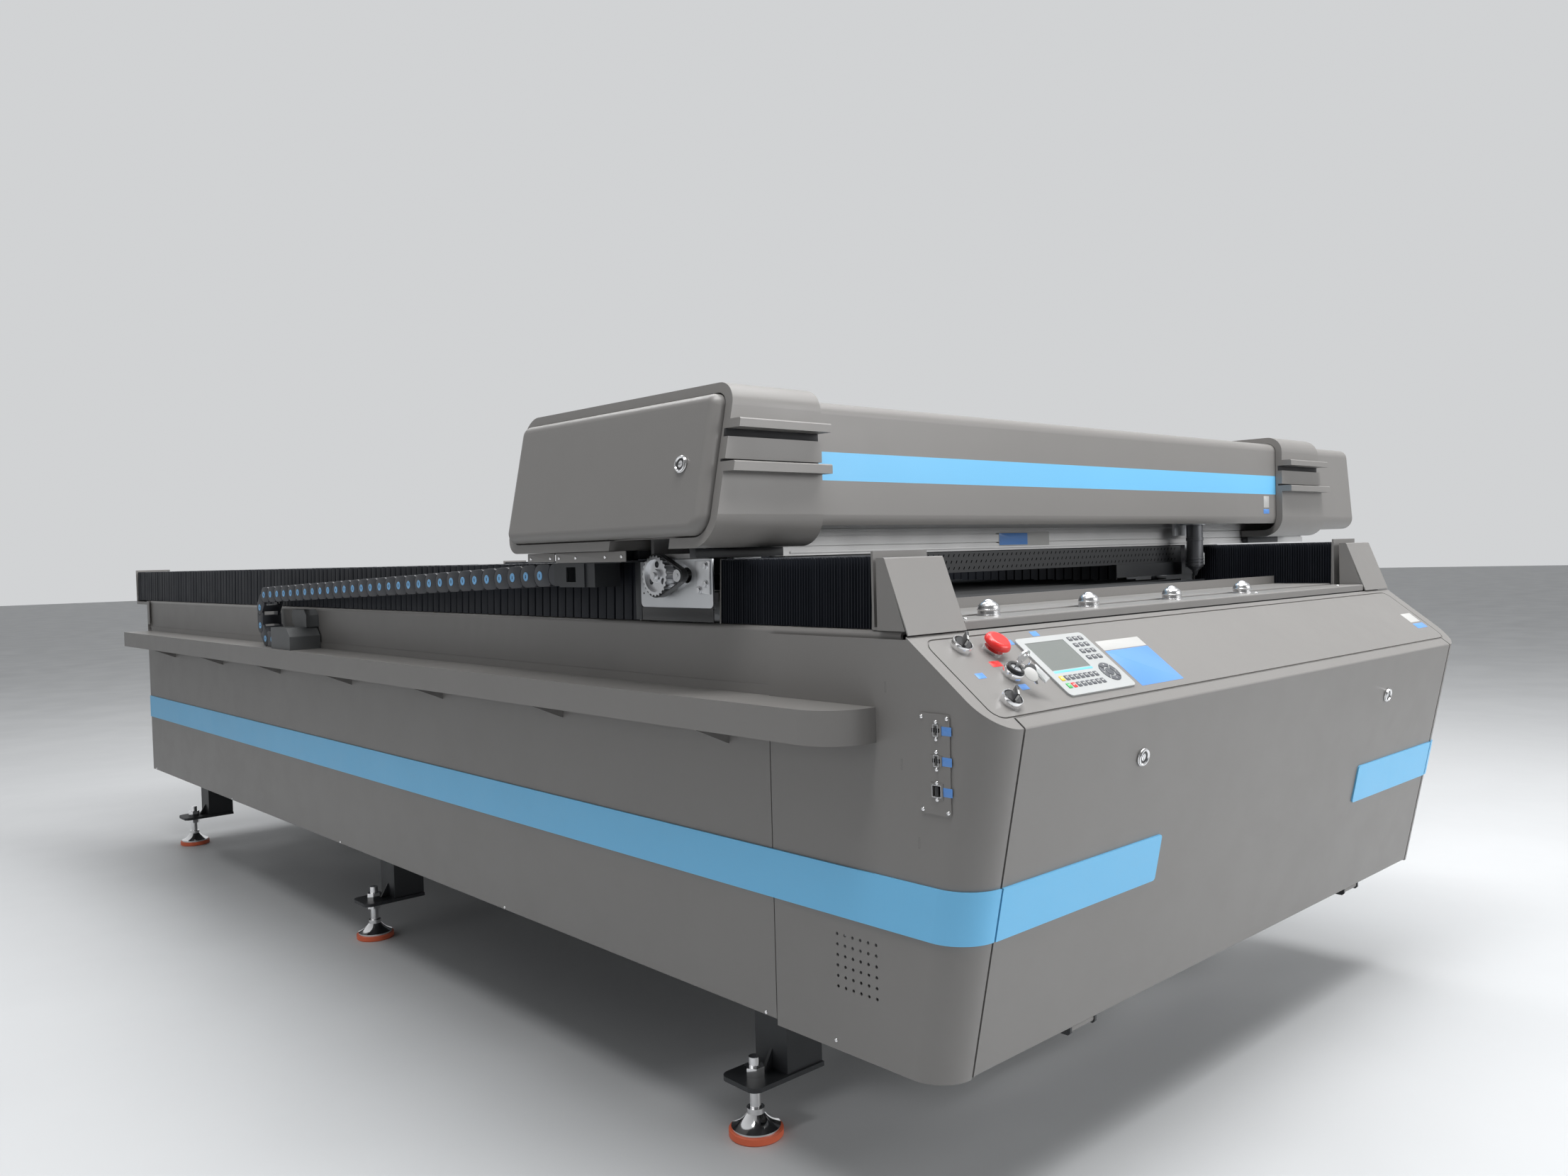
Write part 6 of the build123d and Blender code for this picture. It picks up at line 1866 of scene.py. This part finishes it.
@dataclass(frozen=True)
class Fasteners:
    """Hexagon bolts and round-headed screws, set by Geometry Nodes."""

    def bolt(self) -> Piece:
        """Draws a hexagon head on its washer, Z out of the face.

        Returns:
            The bolt.
        """
        piece = Piece("bolt", ZINC)
        piece.lathe([(6.4, 0.0), (6.4, 0.8), (6.0, 1.1), (3.0, 1.1)], Matrix.Identity(4), 24, caps=True)
        piece.raised(circle(5.0, 6), Matrix.Translation((0, 0, 1.0)), 3.6, 0.5)
        return piece

    def screw(self) -> Piece:
        """Draws a round-headed screw with a recess, Z out of the face.

        Returns:
            The screw.
        """
        piece = Piece("screw", CHROME)
        profile = [(3.0, 0.0), (3.0, 0.5), (2.6, 1.3), (1.9, 1.8), (0.9, 2.05), (0.75, 1.4), (0.0, 1.3)]
        piece.lathe(profile, Matrix.Identity(4), 20)
        return piece

    def body_places(self) -> list[Matrix]:
        """Gives the frames of the screws in the bed.

        Returns:
            The frames: socket plate, sockets, skirt, deck, back sheet and blank plate.
        """
        socket_plate, rear = SocketPlate(), RearFittings()
        face = socket_plate.face
        plate = [on_left(y, z, face) for y in (80, 123) for z in (624.5, 747.5)]
        sockets = [on_left(socket_plate.y, z, face) for z in (742.0, 719.5, 702.5, 679.5, 662.0, 640.0)]
        skirt = [on_left(y, 263, -TAG_GAP) for y in (300, 452, 1250, 2080, 2900, 3700)]
        deck = [facing((x, 176, DECK_TOP), (1, 0, 0), (0, 0, 1)) for x in (160, 760, 1060, 1440)]
        edge = [rear.face(x, z) for x in (30, 420, 820, 1220, 1610) for z in (275, 740)]
        blank = [rear.face(rear.middle + x, rear.plate + y, 0.9) for x in (-58, 58) for y in (-32, 32)]
        return [*plate, *sockets, *skirt, *deck, *edge, *blank]

    def spigot_places(self) -> list[Matrix]:
        """Gives the frames of the six bolts round each spigot.

        Returns:
            The frames.
        """
        rear = RearFittings()
        radius, flange = 84, 2.0
        turns = [math.radians(30 + 60 * k) for k in range(6)]
        return [
            rear.face(x + radius * math.cos(a), rear.height + radius * math.sin(a), flange)
            for x in rear.spigots for a in turns
        ]

    def build(self) -> list[bpy.types.Object]:
        """Sets every fastener.

        Returns:
            The pieces.
        """
        motor = [on_left(y, z, -2.5) for y, z in ((567, 951), (567, 922), (585, 912))]
        under = [on_left(y, 969, -62.1) for y in (712, 760, 850, 903, 932, 998)]
        tray = [facing((-40, y, 750.9), (1, 0, 0), (0, 0, -1)) for y in (262, 1100, 1900, 2700, 3500)]
        return [
            Repeater("gantry_bolts", self.bolt(), 4.0).at(motor, "gantry"),
            Repeater("gantry_screws", self.screw(), 3.0).at(under, "gantry"),
            Repeater("body_screws", self.screw(), 3.0).at(self.body_places(), "base"),
            Repeater("spigot_bolts", self.bolt(), 4.0).at(self.spigot_places(), "base"),
            Repeater("tray_bolts", self.bolt(), 4.0).at(tray, "base"),
        ]


# Studio


@dataclass(frozen=True)
class Lamp:
    """A soft area light.

    Args:
        name: Name of the light.
        where: Its place in metres.
        aim: Point that it looks at, in metres.
        size: Width and height in metres.
        watts: Its power.
    """

    name: str
    where: Point
    aim: Point
    size: Flat
    watts: float

    def hang(self) -> None:
        """Puts the lamp in the scene."""
        data = bpy.data.lights.new(self.name, "AREA")
        data.shape = "RECTANGLE"
        data.size, data.size_y = self.size
        data.energy = self.watts
        made = bpy.data.objects.new(self.name, data)
        made.location = self.where
        direction = Vector(self.aim) - Vector(self.where)
        made.rotation_euler = direction.to_track_quat("-Z", "Y").to_euler()
        bpy.context.scene.collection.objects.link(made)


# Two strips overhead, a fill from the left and one from the front
LAMPS = (
    Lamp("strip_front", (-0.4, -2.6, 4.6), (0.1, -1.2, 0.7), (5.5, 1.2), 268),
    Lamp("strip_middle", (0.4, 1.2, 5.2), (0, 1.0, 0.6), (7.0, 1.2), 215),
    Lamp("fill_left", (-7.5, -0.5, 2.6), (0, 0, 0.6), (6.0, 2.6), 46),
    Lamp("fill_front", (2.4, -7.0, 2.6), (0.2, -1.9, 0.7), (5.0, 2.4), 212),
)


@dataclass(frozen=True)
class Studio:
    """Camera, floor and pale surroundings.

    Args:
        camera_place: The camera's place in metres.
        camera_turn: The camera's turn in degrees.
        lens: Focal length in millimetres.
        floor_radius: Radius of the floor in metres.
        bright_side: Direction of the brighter side of the surroundings.
        dim: Strength of the surroundings away from it.
        bright: Strength towards it.
        seen_gain: Factor on that strength where it is seen, mirrored or looked at through glass.
    """

    camera_place: Point = (-2.29863, -2.86115, 0.967)
    camera_turn: Point = (88.34184, 1.50245, -42.63725)
    lens: float = 27.26
    floor_radius: float = 40.0
    bright_side: Point = (0.62, 0.67, 0.41)
    dim: float = 0.115
    bright: float = 0.47
    seen_gain: float = 1.4

    def camera(self) -> None:
        """Makes the camera at the photograph's viewing angle."""
        data = bpy.data.cameras.new("photo_camera")
        data.lens = self.lens
        data.sensor_width = 36.0
        data.sensor_fit = "HORIZONTAL"
        data.clip_end = 200.0
        made = bpy.data.objects.new("photo_camera", data)
        made.location = self.camera_place
        made.rotation_euler = Euler([math.radians(a) for a in self.camera_turn], "XYZ")
        bpy.context.scene.collection.objects.link(made)
        bpy.context.scene.camera = made

    def floor(self) -> None:
        """Lays a plain pale floor."""
        data = bpy.data.meshes.new("floor")
        ring = [(x, y, 0.0) for x, y in circle(self.floor_radius, 64)]
        data.from_pydata(ring, [], [list(range(len(ring)))])
        paint = NodeWriter("floor_paint")
        tone = paint.mix((0.52, 0.53, 0.54), (0.58, 0.59, 0.60), paint.noise(0.8, detail=5.0))
        paint.link(tone, "Base Color")
        paint.link(paint.levels(paint.noise(3.0), *NOISE_BAND, 0.45, 0.6), "Roughness")
        data.materials.append(paint.material)
        made = bpy.data.objects.new("floor", data)
        bpy.context.scene.collection.objects.link(made)

    def surroundings(self) -> None:
        """Puts the pale room round the scene, dimmer as a light than where it is seen."""
        world = bpy.data.worlds.new("pale_room")
        world.use_nodes = True
        graph = Graph(world.node_tree)
        ray = graph.node("ShaderNodeTexCoord").outputs["Generated"]
        side = graph.node("ShaderNodeVectorMath", {0: ray, 1: self.bright_side}, operation="DOT_PRODUCT")
        values = {
            "Value": side.outputs["Value"], "From Min": -0.6, "From Max": 0.75, "To Min": self.dim,
            "To Max": self.bright,
        }
        level = graph.node("ShaderNodeMapRange", values).outputs["Result"]
        rays = graph.node("ShaderNodeLightPath").outputs
        seen = rays["Is Camera Ray"]
        for kind in ("Is Glossy Ray", "Is Transmission Ray"):
            seen = graph.node("ShaderNodeMath", {0: seen, 1: rays[kind]}, operation="MAXIMUM").outputs["Value"]
        values = {"Value": seen, "To Min": 1.0, "To Max": self.seen_gain}
        gain = graph.node("ShaderNodeMapRange", values).outputs["Result"]
        strength = graph.node("ShaderNodeMath", {0: level, 1: gain}, operation="MULTIPLY").outputs["Value"]
        background = graph.tree.nodes["Background"]
        background.inputs["Color"].default_value = (0.97, 0.985, 1.0, 1.0)
        graph.tree.links.new(strength, background.inputs["Strength"])
        bpy.context.scene.world = world

    def build(self) -> None:
        """Sets up everything round the machine."""
        self.camera()
        self.floor()
        for lamp in LAMPS:
            lamp.hang()
        self.surroundings()


# Whole scene


def clear_scene() -> None:
    """Removes whatever Blender starts with."""
    for item in list(bpy.data.objects):
        bpy.data.objects.remove(item)


def paint_nodes(nodes: dict[str, bpy.types.Object]) -> None:
    """Gives every carried-over CAD node its finish.

    Args:
        nodes: CAD node name to object.
    """
    for finish, names in NODE_FINISHES.items():
        for name in names:
            data = nodes[name].data
            data.materials.clear()
            data.materials.append(finish.material())
    left = sorted(set(nodes) - {n for names in NODE_FINISHES.values() for n in names})
    if left:
        log.warning("nodes without a finish: %s", left)


def soften_folds(nodes: dict[str, bpy.types.Object]) -> None:
    """Gives the folded sheets a small edge radius.

    Args:
        nodes: CAD node name to object.
    """
    for name in FOLDED:
        edge = nodes[name].modifiers.new("folded_edge", "BEVEL")
        edge.width = 0.8 * MILLI
        edge.segments = 2
        edge.limit_method = "ANGLE"
        edge.angle_limit = math.radians(50)
        edge.use_clamp_overlap = False
        edge.harden_normals = False


def main() -> None:
    """Loads the frame, builds the pieces in order and reports them."""
    logging.basicConfig(level=logging.INFO, format="%(message)s")
    clear_scene()
    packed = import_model()
    bpy.context.scene.view_settings.view_transform = "Standard"
    Studio().build()
    paint_nodes(packed["nodes"])
    soften_folds(packed["nodes"])
    stages: list[tuple[str, Callable[[], Iterable[bpy.types.Object]]]] = [
        ("bellows", dress_bellows),
        ("cable chain", CableChain().build),
        ("control desk", ControlDesk().build),
        ("socket plate", SocketPlate().build),
        ("locks", LockFaces().build),
        ("gantry trim", GantryTrim().build),
        ("beam guard", BeamGuard().build),
        ("head hose", HeadHose().build),
        ("ball deck", BallDeck().build),
        ("electrical cabinet", CabinetFittings().build),
        ("rear", RearFittings().build),
        ("fasteners", Fasteners().build),
    ]
    for title, build in stages:
        made = list(build())
        log.info("%s: %s", title, ", ".join(sorted(o.name for o in made)))
    bpy.context.view_layer.update()


if __name__ == "__main__":
    main()
